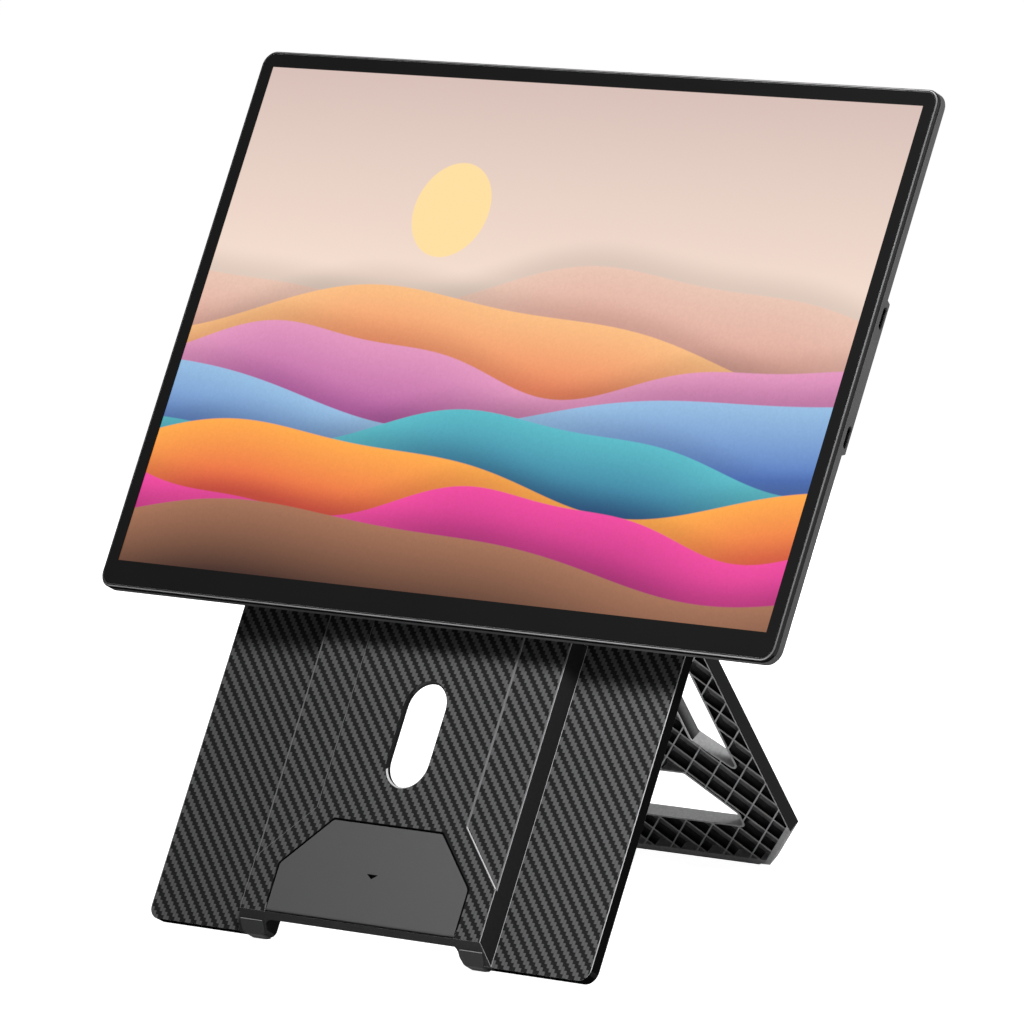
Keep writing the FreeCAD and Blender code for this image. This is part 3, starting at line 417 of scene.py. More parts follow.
def moulded(name, colour, roughness, specular, texture, depth, spread=0.3):
    """Moulded plastic with a fine spark texture and a slightly cloudy tone."""
    cloud_size = 0.03
    cloud_gloss = 0.08
    material, tree, shader = new_finish(name, roughness, specular)
    place = tree.nodes.new("ShaderNodeTexCoord").outputs["Object"]
    fine = grain(tree, place, texture)
    cloud = grain(tree, place, cloud_size)
    tone = calc(tree, "MULTIPLY_ADD", calc(tree, "ADD", fine, cloud), spread, 1.0 - spread)
    tree.links.new(scaled(tree, colour, tone), shader.inputs["Base Color"])
    gloss = ranged(tree, cloud, roughness - cloud_gloss, roughness + cloud_gloss)
    tree.links.new(gloss, shader.inputs["Roughness"])
    relief(tree, shader, fine, depth)
    return material


cover_black = (0.016, 0.016, 0.0165)
cover_plastic = moulded("spark_textured_black_plastic", cover_black, roughness=0.55, specular=0.3,
                        texture=0.0005, depth=0.00006)
for end in ("left", "right"):
    eased(f"wing_back_cover_{end}", "stand", cover_plastic, COVER_ROUND)

# Back cover screws
# Eight countersunk cross-head screws of blackened steel, four in each wing cover, driven from the
# back. The other screws that can be seen have the same shape.
STAND_HEAD_DEPTH = 0.0011


def blackened_steel():
    """Blackened steel with the fine rings of turning and rubbed high spots."""
    black = (0.015, 0.015, 0.016)
    rubbed_bright = (0.11, 0.11, 0.115)
    rub_size = 0.0006
    ring_size = 0.00025
    ring_depth = 0.00002
    material, tree, shader = new_finish("blackened_steel", roughness=0.35, specular=0.5)
    place = tree.nodes.new("ShaderNodeTexCoord").outputs["Object"]
    rubbed_and_highlighted = grain(tree, place, rub_size, detail=4.0)
    tree.links.new(mixed(tree, rubbed_and_highlighted, black, rubbed_bright), shader.inputs["Base Color"])
    tree.links.new(ranged(tree, rubbed_and_highlighted, 0.22, 0.52), shader.inputs["Roughness"])
    shader.inputs["Metallic"].default_value = 0.8
    relief(tree, shader, grain(tree, place, ring_size), ring_depth)
    return material


def cross_head_tree():
    """Node tree that sets a countersunk cross-head screw, sized in millimetres, on each point."""
    inputs = (
        ("Places", "NodeSocketGeometry"),
        ("Head radius", "NodeSocketFloat"),
        ("Shank radius", "NodeSocketFloat"),
        ("Head depth", "NodeSocketFloat"),
        ("Length", "NodeSocketFloat"),
        ("Recess width", "NodeSocketFloat"),
        ("Recess depth", "NodeSocketFloat"),
        ("Turn", "NodeSocketVector"),
        ("Finish", "NodeSocketMaterial"))
    head_sides = 32
    shank_sides = 24
    shank_share = 0.97
    recess_reach = 1.15
    second_bar_depth = 0.9
    metres = 0.001
    tree = bpy.data.node_groups.new("cross_head_screws", "GeometryNodeTree")
    keys = {}
    for name, kind in inputs:
        keys[name] = tree.interface.new_socket(name, in_out="INPUT", socket_type=kind).identifier
    tree.interface.new_socket("Screws", in_out="OUTPUT", socket_type="NodeSocketGeometry")
    given = tree.nodes.new("NodeGroupInput").outputs
    link = tree.links.new

    def lowered(mesh, drop):
        """Mesh moved down by a drop."""
        move = tree.nodes.new("GeometryNodeTransform")
        offset = tree.nodes.new("ShaderNodeCombineXYZ")
        link(calc(tree, "MULTIPLY", drop, -1.0), offset.inputs["Z"])
        link(mesh, move.inputs["Geometry"])
        link(offset.outputs["Vector"], move.inputs["Translation"])
        return move.outputs["Geometry"]

    def bar(long_axis, short_axis, share):
        """One bar of the cross recess, with a share of its full depth."""
        cube = tree.nodes.new("GeometryNodeMeshCube")
        size = tree.nodes.new("ShaderNodeCombineXYZ")
        link(calc(tree, "MULTIPLY", given["Head radius"], recess_reach), size.inputs[long_axis])
        link(given["Recess width"], size.inputs[short_axis])
        link(calc(tree, "MULTIPLY", given["Recess depth"], 2.0 * share), size.inputs["Z"])
        link(size.outputs["Vector"], cube.inputs["Size"])
        return cube.outputs["Mesh"]

    head = tree.nodes.new("GeometryNodeMeshCone")
    head.inputs["Vertices"].default_value = head_sides
    link(given["Head radius"], head.inputs["Radius Top"])
    link(given["Shank radius"], head.inputs["Radius Bottom"])
    link(given["Head depth"], head.inputs["Depth"])
    shank = tree.nodes.new("GeometryNodeMeshCylinder")
    shank.inputs["Vertices"].default_value = shank_sides
    overlap = calc(tree, "MULTIPLY", given["Head depth"], 0.5)
    shank_length = calc(tree, "SUBTRACT", given["Length"], overlap)
    link(calc(tree, "MULTIPLY", given["Shank radius"], shank_share), shank.inputs["Radius"])
    link(shank_length, shank.inputs["Depth"])
    shank_drop = calc(tree, "ADD", overlap, calc(tree, "MULTIPLY", shank_length, 0.5))
    whole = tree.nodes.new("GeometryNodeMeshBoolean")
    whole.operation = "UNION"
    link(lowered(head.outputs["Mesh"], given["Head depth"]), whole.inputs["Mesh 2"])
    link(lowered(shank.outputs["Mesh"], shank_drop), whole.inputs["Mesh 2"])
    cross = tree.nodes.new("GeometryNodeMeshBoolean")
    cross.operation = "UNION"
    link(bar("X", "Y", 1.0), cross.inputs["Mesh 2"])
    link(bar("Y", "X", second_bar_depth), cross.inputs["Mesh 2"])
    recessed = tree.nodes.new("GeometryNodeMeshBoolean")
    recessed.operation = "DIFFERENCE"
    link(whole.outputs["Mesh"], recessed.inputs["Mesh 1"])
    link(cross.outputs["Mesh"], recessed.inputs["Mesh 2"])
    turn = tree.nodes.new("FunctionNodeEulerToRotation")
    link(given["Turn"], turn.inputs["Euler"])
    placed = tree.nodes.new("GeometryNodeInstanceOnPoints")
    link(given["Places"], placed.inputs["Points"])
    link(recessed.outputs["Mesh"], placed.inputs["Instance"])
    link(turn.outputs["Rotation"], placed.inputs["Rotation"])
    placed.inputs["Scale"].default_value = (metres, metres, metres)
    real = tree.nodes.new("GeometryNodeRealizeInstances")
    link(placed.outputs["Instances"], real.inputs["Geometry"])
    dressed = tree.nodes.new("GeometryNodeSetMaterial")
    link(real.outputs["Geometry"], dressed.inputs["Geometry"])
    link(given["Finish"], dressed.inputs["Material"])
    link(dressed.outputs["Geometry"], tree.nodes.new("NodeGroupOutput").inputs["Screws"])
    return tree, keys


def solids_of(node):
    """Corner points of each separate solid of a CAD node."""
    shell = welded(node)
    known = set()
    solids = []
    for start in shell.verts:
        if start in known:
            continue
        known.add(start)
        reached = [start]
        for vert in reached:
            for edge in vert.link_edges:
                other = edge.other_vert(vert)
                if other not in known:
                    known.add(other)
                    reached.append(other)
        solids.append([vert.co.copy() for vert in reached])
    shell.free()
    return solids


screw_tree, screw_keys = cross_head_tree()
screw_steel = blackened_steel()


def drive_screws(node, body, head_depth, head_way):
    """Cross-head screws on a body in place of plain CAD ones, heads towards the given way."""
    end_thickness = 1e-5
    recess_width = 0.3
    recess_depth = 0.6
    millimetres = 1000.0
    places = []
    for points in solids_of(node):
        top = max(point.dot(head_way) for point in points)
        foot = min(point.dot(head_way) for point in points)
        ring = [point for point in points if point.dot(head_way) > top - end_thickness]
        end = [point for point in points if point.dot(head_way) < foot + end_thickness]
        places.append(sum(ring, Vector()) / len(ring))
        end_middle = sum(end, Vector()) / len(end)
        head_radius = max((point - places[-1]).length for point in ring)
        shank_radius = max((point - end_middle).length for point in end)
    mesh = bpy.data.meshes.new(node + "_cross_head")
    mesh.from_pydata(places, [], [])
    piece = added(node + "_cross_head", mesh)
    modifier = piece.modifiers.new("screws", "NODES")
    modifier.node_group = screw_tree
    sizes = {
        "Head radius": head_radius,
        "Shank radius": shank_radius,
        "Head depth": head_depth,
        "Length": top - foot,
        "Recess width": head_radius * recess_width,
        "Recess depth": head_depth * recess_depth}
    for name, size in sizes.items():
        modifier[screw_keys[name]] = size * millimetres
    modifier[screw_keys["Turn"]] = head_way.to_track_quat("Z", "Y").to_euler()
    modifier[screw_keys["Finish"]] = screw_steel
    plain_mesh(piece)
    stand_in(piece, node, body)


drive_screws("back_cover_screws", "stand", STAND_HEAD_DEPTH, -FRONT)

# Leg hinge
# A steel shaft through the leg's head, a spring washer at each end of the leg for friction, and two
# plastic caps that hold the shaft down in the panel, each with two screws.


def dress(finish, *names):
    """Puts a finish on CAD pieces that keep their own shape."""
    for name in names:
        for socket in nodes[name].material_slots:
            socket.material = finish


def turned_steel(name, light, dark, roughness):
    """Bright turned metal with fine lines round the work and a little cloudiness."""
    line_width = 0.00008
    line_stretch = 12.0
    line_gloss = 0.1
    line_depth = 0.00001
    material, tree, shader = new_finish(name, roughness, specular=0.5)
    place = tree.nodes.new("ShaderNodeTexCoord").outputs["Object"]
    lines = grain(tree, place, line_width, (1.0, line_stretch, line_stretch))
    tree.links.new(mixed(tree, lines, dark, light), shader.inputs["Base Color"])
    gloss = ranged(tree, lines, roughness - line_gloss, roughness + line_gloss)
    tree.links.new(gloss, shader.inputs["Roughness"])
    shader.inputs["Metallic"].default_value = 1.0
    relief(tree, shader, lines, line_depth)
    return material


bright_steel = turned_steel("turned_steel", light=(0.62, 0.62, 0.63), dark=(0.40, 0.40, 0.41),
                            roughness=0.28)
dress(bright_steel, "leg_hinge_shaft", "hinge_washers")
for end in ("left", "right"):
    eased(f"hinge_cap_{end}", "stand", cover_plastic, COVER_ROUND)
drive_screws("hinge_cap_screws", "stand", STAND_HEAD_DEPTH, -FRONT)

# Support leg
# A tray of dark plastic with a grid of thin diagonal ribs open to the front, two slanted windows and
# a wide lower one, moulded in one and swung on the shaft. Its sides are smooth and black.
OPENING = math.radians(joints["leg_fold"]["range_deg"][1])
LEG_LEAN = LEAN - OPENING
LEG_SEAT = Matrix.Rotation(-OPENING, 3, "X") @ (SEAT - HINGE) + HINGE


def graded(tree, value, start, end, first=0.0, last=1.0, soft=False):
    """Value that goes from first to last while another goes from start to end, and stays there."""
    node = tree.nodes.new("ShaderNodeMapRange")
    if soft:
        node.interpolation_type = "SMOOTHSTEP"
    node.inputs["From Min"].default_value = start
    node.inputs["From Max"].default_value = end
    node.inputs["To Min"].default_value = first
    node.inputs["To Max"].default_value = last
    tree.links.new(value, node.inputs["Value"])
    return node.outputs["Result"]


def ribbed_finish():
    """Dark plastic with painted light and shade on rib edges, rims, cells and windows; black smooth
    outer sides.
    """
    # Painted light: cell floors, rib edges and rims, upward window sides and wall roots are painted
    # lighter.
    painted_lit_cell_floor = (0.25, 0.25, 0.253)
    # Painted shade: rib walls are painted near-black at their front edges.
    painted_shade_rib_wall = (0.008, 0.008, 0.0082)
    painted_lit_wall_root = (0.11, 0.11, 0.1115)
    root_start = -0.0012
    root_end = 0.0019
    painted_rib_highlight = (0.60, 0.60, 0.606)
    rib_face = -0.0022
    painted_lit_window_side = (0.50, 0.50, 0.506)
    window_upward = 0.76
    outer_side = (0.005, 0.005, 0.0052)
    side_place = 0.0617
    back_skin = (0.018, 0.018, 0.0184)
    back_lacquer = 0.5
    square_on = 0.7
    dust_size = 0.0012
    skin_size = 0.0005
    skin_depth = 0.00004
    material, tree, shader = new_finish("ribbed_dark_plastic", roughness=0.42, specular=0.05)
    shader.inputs["Coat Roughness"].default_value = 0.4
    place, at = place_on(tree, LEG_LEAN, LEG_SEAT)
    facing = facing_on(tree, LEG_LEAN)
    dust = ranged(tree, grain(tree, place, dust_size), 0.75, 1.25)
    edge = under(tree, at["Y"], rib_face)
    upward = above(tree, facing["Z"], window_upward)
    inward = under(tree, facing["Y"], -square_on)
    behind = above(tree, facing["Y"], square_on)
    at_side = above(tree, calc(tree, "ABSOLUTE", at["X"]), side_place)
    # Rib walls go from painted shade at their front edges to painted light at their roots.
    wall = mixed(tree, graded(tree, at["Y"], root_start, root_end), painted_shade_rib_wall, painted_lit_wall_root)
    colour = mixed(tree, inward, mixed(tree, upward, wall, painted_lit_window_side), painted_lit_cell_floor)
    colour = mixed(tree, edge, colour, painted_rib_highlight)
    colour = mixed(tree, behind, mixed(tree, at_side, colour, outer_side), back_skin)
    tree.links.new(scaled(tree, colour, dust), shader.inputs["Base Color"])
    tree.links.new(calc(tree, "MULTIPLY", behind, back_lacquer), shader.inputs["Coat Weight"])
    tree.links.new(calc(tree, "MULTIPLY_ADD", dust, 0.2, 0.25), shader.inputs["Roughness"])
    relief(tree, shader, grain(tree, place, skin_size), skin_depth)
    return material


eased("support_leg", "leg", ribbed_finish(), width=0.00012)

# Leg foot pad
# A wedge of black rubber glued under the leg's lower end. The leg stands flat on it, and it keeps
# the end from slipping.


def rubber_skin(tree, shader, place, colour):
    """Fine matt skin of rubber over a colour, with a little dust in it."""
    skin_size = 0.0003
    skin_depth = 0.00005
    skin = grain(tree, place, skin_size, detail=4.0)
    tree.links.new(scaled(tree, colour, ranged(tree, skin, 0.7, 1.3)), shader.inputs["Base Color"])
    tree.links.new(ranged(tree, skin, 0.55, 0.75), shader.inputs["Roughness"])
    relief(tree, shader, skin, skin_depth)


def pad_finish():
    """Black rubber, the same all over."""
    rubber_black = (0.012, 0.012, 0.0125)
    material, tree, shader = new_finish("black_rubber", roughness=0.7, specular=0.1)
    rubber_skin(tree, shader, tree.nodes.new("ShaderNodeTexCoord").outputs["Object"], rubber_black)
    return material


black_rubber = pad_finish()
eased("leg_foot_pad", "leg", black_rubber, width=0.00025)

# Hinge cover
# A strip of the same textured black plastic as the wing covers, which closes the back of the panel
# over the hinge and is held by two screws.
eased("hinge_cover", "stand", cover_plastic, COVER_ROUND)
drive_screws("hinge_cover_screws", "stand", STAND_HEAD_DEPTH, -FRONT)

# Stop flap
# A flat satin plate that closes flush in the slab's lower end and folds forward on two steel pins to
# make a ledge. A small printed mark in its middle shows which way it opens.


def flap_finish():
    """Satin grey plastic, with the edges that stand in the gap round it painted black as painted shade.
    """
    face = (0.092, 0.092, 0.093)
    # Painted shade: the edges in the gap round the flap are painted black.
    flap_gap_shade = (0.004, 0.004, 0.004)
    flat_face = 0.93
    lower_edge = -0.3
    satin_size = 0.0006
    satin_depth = 0.00002
    material, tree, shader = new_finish("satin_grey_plastic", roughness=0.45, specular=0.03)
    place, _ = place_on(tree)
    facing = facing_on(tree)
    fine = grain(tree, place, satin_size)
    shown = either(tree, above(tree, calc(tree, "ABSOLUTE", facing["Y"]), flat_face),
                   under(tree, facing["Z"], lower_edge))
    colour = scaled(tree, mixed(tree, shown, flap_gap_shade, face), ranged(tree, fine, 0.93, 1.07))
    tree.links.new(colour, shader.inputs["Base Color"])
    tree.links.new(ranged(tree, fine, 0.4, 0.52), shader.inputs["Roughness"])
    relief(tree, shader, fine, satin_depth)
    return material


eased("stop_flap", "flap", flap_finish(), width=0.00012)
dress(bright_steel, "flap_pins")
slab_front = -0.00664
mark_left = -0.0034
mark_right = 0.0025
mark_middle = (mark_left + mark_right) / 2.0
mark_top = 0.0284
mark_tip = 0.0265
mark_depth = 0.00003
mark_black = (0.001, 0.001, 0.001)
mark_ink = moulded("mark_ink", mark_black, roughness=0.6, specular=0.0, texture=0.0002, depth=0.000005)
mark_outline = ((mark_left, mark_top), (mark_middle, mark_tip), (mark_right, mark_top))
to_world = Matrix.Rotation(-LEAN, 3, "X")
mark_points = [to_world @ (Vector((x, slab_front - lift, z)) - SEAT)
               for lift in (mark_depth, -mark_depth) for x, z in mark_outline]
mark_faces = [(0, 1, 2), (5, 4, 3), (0, 3, 4, 1), (1, 4, 5, 2), (2, 5, 3, 0)]
mark_mesh = bpy.data.meshes.new("flap_mark")
mark_mesh.from_pydata(mark_points, [], mark_faces)
mark_mesh.materials.append(mark_ink)
flap_mark = added("flap_mark", mark_mesh)
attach(flap_mark, "flap")

# Rubber feet
# A strip of dark grey rubber on each lower corner of the panel, glued on its slope and wrapped under
# it, its upper end painted paler as a painted highlight.


def foot_finish():
    """Dark grey rubber, its upper end painted paler as a painted highlight."""
    skin_grey = (0.034, 0.034, 0.035)
    # Painted highlight on the top edge of the upper end.
    painted_end_highlight = (0.28, 0.28, 0.284)
    end_upward = 0.25
    end_forward = -0.2
    material, tree, shader = new_finish("grey_rubber", roughness=0.7, specular=0.1)
    place, _ = place_on(tree)
    facing = facing_on(tree)
    upper_end = both(tree, above(tree, facing["Z"], end_upward), under(tree, facing["Y"], end_forward))
    rubber_skin(tree, shader, place, mixed(tree, upper_end, skin_grey, painted_end_highlight))
    return material


grey_rubber = foot_finish()
for end in ("left", "right"):
    eased(f"foot_pad_{end}", "stand", grey_rubber, width=0.0002)

# Height slide
# A moulded carriage plate between two runners that grip the slab's sides, braked by rubber pads, with
# the monitor screwed to its front through four brass inserts.
SLIDE_ROUND = 0.0002
MOUNT_HEAD_DEPTH = 0.0019
RUNNER_HEAD_DEPTH = 0.0015
slide_black = (0.014, 0.014, 0.0145)
slide_plastic = moulded("slide_black_plastic", slide_black, roughness=0.5, specular=0.3,
                        texture=0.0005, depth=0.00005)
brass = turned_steel("turned_brass", light=(0.80, 0.58, 0.26), dark=(0.52, 0.34, 0.12), roughness=0.35)
for end in ("left", "right"):
    eased(f"slide_runner_{end}", "display", slide_plastic, SLIDE_ROUND)
eased("carriage_plate", "display", slide_plastic, SLIDE_ROUND)
dress(black_rubber, "brake_pads")
dress(brass, "mount_inserts")
drive_screws("mount_screws", "display", MOUNT_HEAD_DEPTH, -FRONT)
drive_screws("runner_screws", "display", RUNNER_HEAD_DEPTH, FRONT)

# Rear cover
# The monitor's shallow tray of dark grey plastic, with a thicker housing across its middle for the
# boards, sockets and speakers. Eight small screws along its edges hold it to the frame.
REAR_HEAD_DEPTH = 0.0007


def cover_finish():
    """Painted grey plastic, dark behind and on top, side walls and underside painted paler as painted
    light, dull below.
    """
    # Painted light: the side walls are paler than the back, and the underside palest.
    side = (0.051, 0.051, 0.052)
    lower = (0.090, 0.090, 0.092)
    back = (0.020, 0.020, 0.0205)
    backward = 0.35
    upward = 0.8
    downward = -0.5
    lacquer = 0.2
    paint_size = 0.0004
    paint_spread = 0.35
    paint_depth = 0.00004
    cloud_size = 0.03
    material, tree, shader = new_finish("painted_grey_plastic", roughness=0.42, specular=0.0)
    shader.inputs["Coat Roughness"].default_value = 0.42
    place, _ = place_on(tree)
    facing = facing_on(tree)
    fine = grain(tree, place, paint_size)
    cloud = grain(tree, place, cloud_size)
    tone = calc(tree, "MULTIPLY_ADD", fine, paint_spread, ranged(tree, cloud, 0.68, 0.98))
    dark = either(tree, above(tree, facing["Y"], backward), above(tree, facing["Z"], upward))
    below = under(tree, facing["Z"], downward)
    colour = mixed(tree, dark, mixed(tree, below, side, lower), back)
    tree.links.new(scaled(tree, colour, tone), shader.inputs["Base Color"])
    tree.links.new(ranged(tree, cloud, 0.32, 0.52), shader.inputs["Roughness"])
    tree.links.new(ranged(tree, below, lacquer, 0.0), shader.inputs["Coat Weight"])
    relief(tree, shader, fine, paint_depth)
    return material


eased("rear_cover", "display", cover_finish(), width=0.00008)
drive_screws("rear_cover_screws", "display", REAR_HEAD_DEPTH, -FRONT)

# Boards, sockets and speakers
# What the housing holds: a green circuit board with two steel sockets, two flat speakers behind slots,
# a small board with three key switches, and the flat cable to the picture.


def circuit_board():
    """Green solder mask over fine square runs of copper."""
    mask_dark = (0.010, 0.085, 0.030, 1.0)
    mask_light = (0.016, 0.120, 0.042, 1.0)
    copper_run = (0.030, 0.190, 0.070, 1.0)
    runs_per_metre = 260.0
    run_width = 0.06
    run_height = 0.00003
    material, tree, shader = new_finish("green_solder_mask", roughness=0.3, specular=0.5)
    place, _ = place_on(tree)
    flat = tree.nodes.new("ShaderNodeMapping")
    flat.inputs["Rotation"].default_value = (math.radians(90.0), 0.0, 0.0)
    tree.links.new(place, flat.inputs["Vector"])
    runs = tree.nodes.new("ShaderNodeTexBrick")
    runs.inputs["Scale"].default_value = runs_per_metre
    runs.inputs["Mortar Size"].default_value = run_width
    runs.inputs["Color1"].default_value = mask_dark
    runs.inputs["Color2"].default_value = mask_light
    runs.inputs["Mortar"].default_value = copper_run
    tree.links.new(flat.outputs["Vector"], runs.inputs["Vector"])
    tree.links.new(runs.outputs["Color"], shader.inputs["Base Color"])
    relief(tree, shader, runs.outputs["Fac"], run_height)
    return material


def striped(name, first, second, pitch, roughness):
    """Fine stripes side by side, as on a flat cable or a lamp strip."""
    skin_size = 0.0005
    stripe_height = 0.00002
    material, tree, shader = new_finish(name, roughness, specular=0.4)
    place, at = place_on(tree)
    stripe = above(tree, calc(tree, "FRACT", calc(tree, "DIVIDE", at["X"], pitch)), 0.5)
    tree.links.new(mixed(tree, stripe, first, second), shader.inputs["Base Color"])
    relief(tree, shader, calc(tree, "ADD", stripe, grain(tree, place, skin_size)), stripe_height)
    return material


speaker_black = (0.010, 0.010, 0.0105)
speaker_plastic = moulded("speaker_plastic", speaker_black, roughness=0.6, specular=0.3,
                          texture=0.0008, depth=0.0001)
socket_steel = turned_steel("drawn_socket_steel", light=(0.50, 0.50, 0.51), dark=(0.34, 0.34, 0.35),
                            roughness=0.3)
flat_cable = striped("amber_flat_cable", (0.42, 0.16, 0.03), (0.30, 0.10, 0.02), pitch=0.0005,
                     roughness=0.4)
dress(circuit_board(), "main_board", "button_board")
dress(socket_steel, "usb_c_port_upper", "usb_c_port_lower")
dress(speaker_plastic, "speaker_left", "speaker_right", "key_switches")
dress(flat_cable, "display_cable")
dress(screw_steel, "board_screws")

# Buttons
# Three black plastic keys in a shallow scoop of the left edge: power, menu up and menu down. Each
# slides straight in and is pushed back by the switch behind it.
key_black = (0.013, 0.013, 0.0135)
key_plastic = moulded("key_black_plastic", key_black, roughness=0.4, specular=0.4,
                      texture=0.0003, depth=0.00003)
for key in ("power", "menu_up", "menu_down"):
    eased(f"{key}_button", f"{key}_key", key_plastic, width=0.00015)

# Backlight
# A sheet-metal tray with an acrylic light guide laid in it, lit from below by a strip of lamps. The
# whole lies in the rear cover, behind the picture.
tray_steel = turned_steel("rolled_tray_steel", light=(0.66, 0.66, 0.67), dark=(0.52, 0.52, 0.53),
                          roughness=0.4)
acrylic = moulded("frosted_acrylic", (0.80, 0.82, 0.84), roughness=0.35, specular=0.5,
                  texture=0.0007, depth=0.00005, spread=0.1)
lamp_strip = striped("lamp_strip", (0.85, 0.84, 0.78), (0.60, 0.60, 0.58), pitch=0.004, roughness=0.5)
dress(tray_steel, "backlight_tray")
dress(acrylic, "light_guide")
dress(lamp_strip, "led_strip")

# Picture
# The glass cell that shows the picture, laid in the frame over the light guide. It is lit from behind
# and shows a paper-cut landscape of rolling hills under a low sun.


def display_colour(red, green, blue):
    """Colour as a display shows it, from 0 to 255, in light."""
    values = [value / 255.0 for value in (red, green, blue)]
    return [value / 12.92 if value <= 0.04045 else ((value + 0.055) / 1.055) ** 2.4 for value in values]


def picture_finish():
    """Glowing layers of hills, each with two waves in its crest and a soft shade on the one behind.

    Heights are shares of the picture's height. A hill has a height, a swell, a number of waves and
    the angle at which they start, and its colours at the crest and at the foot.
    """
    half_width = 0.17235
    picture_low = 0.13945
    picture_height = 0.2154
    sky_top = display_colour(214, 190, 182)
    sky_low = display_colour(247, 224, 208)
    sky_steepness = 2.2
    sun_colour = display_colour(255, 222, 160)
    sun_across = -0.30
    sun_up = 0.74
    sun_radius = 0.115
    sun_rim = 0.004
    hills = (
        (0.60, 0.050, 2.1, 0.3, (233, 196, 178), (222, 164, 150)),
        (0.52, 0.060, 1.7, 2.2, (250, 190, 130), (236, 132, 92)),
        (0.45, 0.045, 2.6, 4.0, (226, 150, 190), (180, 92, 160)),
        (0.385, 0.055, 1.5, 5.3, (150, 190, 226), (78, 116, 190)),
        (0.31, 0.045, 2.3, 1.2, (88, 186, 198), (34, 92, 142)),
        (0.245, 0.050, 1.9, 3.3, (255, 170, 72), (228, 84, 62)),
        (0.17, 0.040, 2.8, 0.9, (240, 70, 158), (160, 30, 112)),
        (0.095, 0.045, 1.6, 2.7, (164, 112, 84), (66, 38, 28)))
    long_turn = 1.6
    short_turn = 3.7
    short_start = 2.3
    short_swell = 0.3
    shade_reach = 0.06
    shade_dark = 0.8
    foot_drop = 0.14
    cut_blur = 0.0012
    paper_size = 0.0011
    paper_depth = 0.000002
    material, tree, shader = new_finish("lit_picture_cell", roughness=0.22, specular=0.12)
    shader.inputs["Base Color"].default_value = (0.004, 0.004, 0.004, 1.0)
    shader.inputs["Emission Strength"].default_value = 1.0
    place, at = place_on(tree)
    paper = grain(tree, place, paper_size, detail=3.0)
    across = calc(tree, "DIVIDE", at["X"], half_width)
    up = calc(tree, "DIVIDE", calc(tree, "SUBTRACT", at["Z"], picture_low), picture_height)
    sky = ranged(tree, up, 1.0 - sky_steepness, 1.0)
    colour = mixed(tree, sky, sky_low, sky_top)
    sun_x = calc(tree, "SUBTRACT", across, sun_across)
    sun_z = calc(tree, "MULTIPLY", calc(tree, "SUBTRACT", up, sun_up), picture_height / half_width)
    from_sun = calc(tree, "SQRT", calc(tree, "ADD", calc(tree, "MULTIPLY", sun_x, sun_x),
                                       calc(tree, "MULTIPLY", sun_z, sun_z)))
    disc = graded(tree, from_sun, sun_radius + sun_rim, sun_radius, soft=True)
    colour = mixed(tree, disc, colour, sun_colour)
    for height, swell, waves, start, crest, foot in hills:
        long_wave = calc(tree, "SINE", calc(tree, "MULTIPLY_ADD", across, waves * long_turn, start))
        short_wave = calc(tree, "SINE", calc(tree, "MULTIPLY_ADD", across, waves * short_turn,
                                             start * short_start))
        edge = calc(tree, "MULTIPLY_ADD", long_wave, swell, height)
        edge = calc(tree, "MULTIPLY_ADD", short_wave, swell * short_swell, edge)
        below = calc(tree, "SUBTRACT", edge, up)
        shade = graded(tree, below, -shade_reach, 0.0, 1.0, shade_dark, soft=True)
        fall = graded(tree, below, 0.0, foot_drop)
        hill = mixed(tree, fall, display_colour(*crest), display_colour(*foot))
        hill = scaled(tree, hill, ranged(tree, paper, 0.92, 1.08))
        cut = graded(tree, below, -cut_blur, cut_blur)
        colour = mixed(tree, cut, scaled(tree, colour, shade), hill)
    tree.links.new(colour, shader.inputs["Emission Color"])
    tree.links.new(ranged(tree, paper, 0.2, 0.24), shader.inputs["Roughness"])
    relief(tree, shader, paper, paper_depth)
    return material


dress(picture_finish(), "lcd_cell")

# Bezel
# A black printed film glued flush in a thin plastic frame. The frame's front edge is cut to a chamfer
# with a painted highlight, and the rear cover is screwed to its back.


def frame_finish():
    """Black plastic frame with a cut chamfer round its front, painted bright as a painted highlight,
    dimmer at the sides.
    """
    body = (0.008, 0.008, 0.0082)
    # Painted highlight: the chamfer is painted bright, and dimmer where it faces sideways.
    chamfer = (0.40, 0.40, 0.405)
    side_chamfer = (0.075, 0.075, 0.076)
    full_side = 0.7
    chamfer_back = -0.02146
    chamfer_flat = -0.9
    chamfer_steep = -0.45
    chamfer_polish = 0.08
    downward = -0.5
    lacquer = 0.2
    line_size = 0.0003
    line_depth = 0.00002
    material, tree, shader = new_finish("cut_edge_black_plastic", roughness=0.35, specular=0.0)
    shader.inputs["Coat Roughness"].default_value = 0.3
    place, at = place_on(tree)
    facing = facing_on(tree)
    cut = both(tree, between(tree, facing["Y"], chamfer_flat, chamfer_steep),
               under(tree, at["Y"], chamfer_back))
    sideways = graded(tree, calc(tree, "ABSOLUTE", facing["X"]), 0.0, full_side)
    lines = grain(tree, place, line_size)
    colour = mixed(tree, cut, body, mixed(tree, sideways, chamfer, side_chamfer))
    colour = scaled(tree, colour, ranged(tree, lines, 0.8, 1.2))
    tree.links.new(colour, shader.inputs["Base Color"])
    gloss = calc(tree, "MULTIPLY_ADD", cut, -chamfer_polish, ranged(tree, lines, 0.3, 0.4))
    tree.links.new(gloss, shader.inputs["Roughness"])
    coat = calc(tree, "MULTIPLY", above(tree, facing["Z"], downward), lacquer)
    tree.links.new(coat, shader.inputs["Coat Weight"])
    relief(tree, shader, lines, line_depth)
    return material


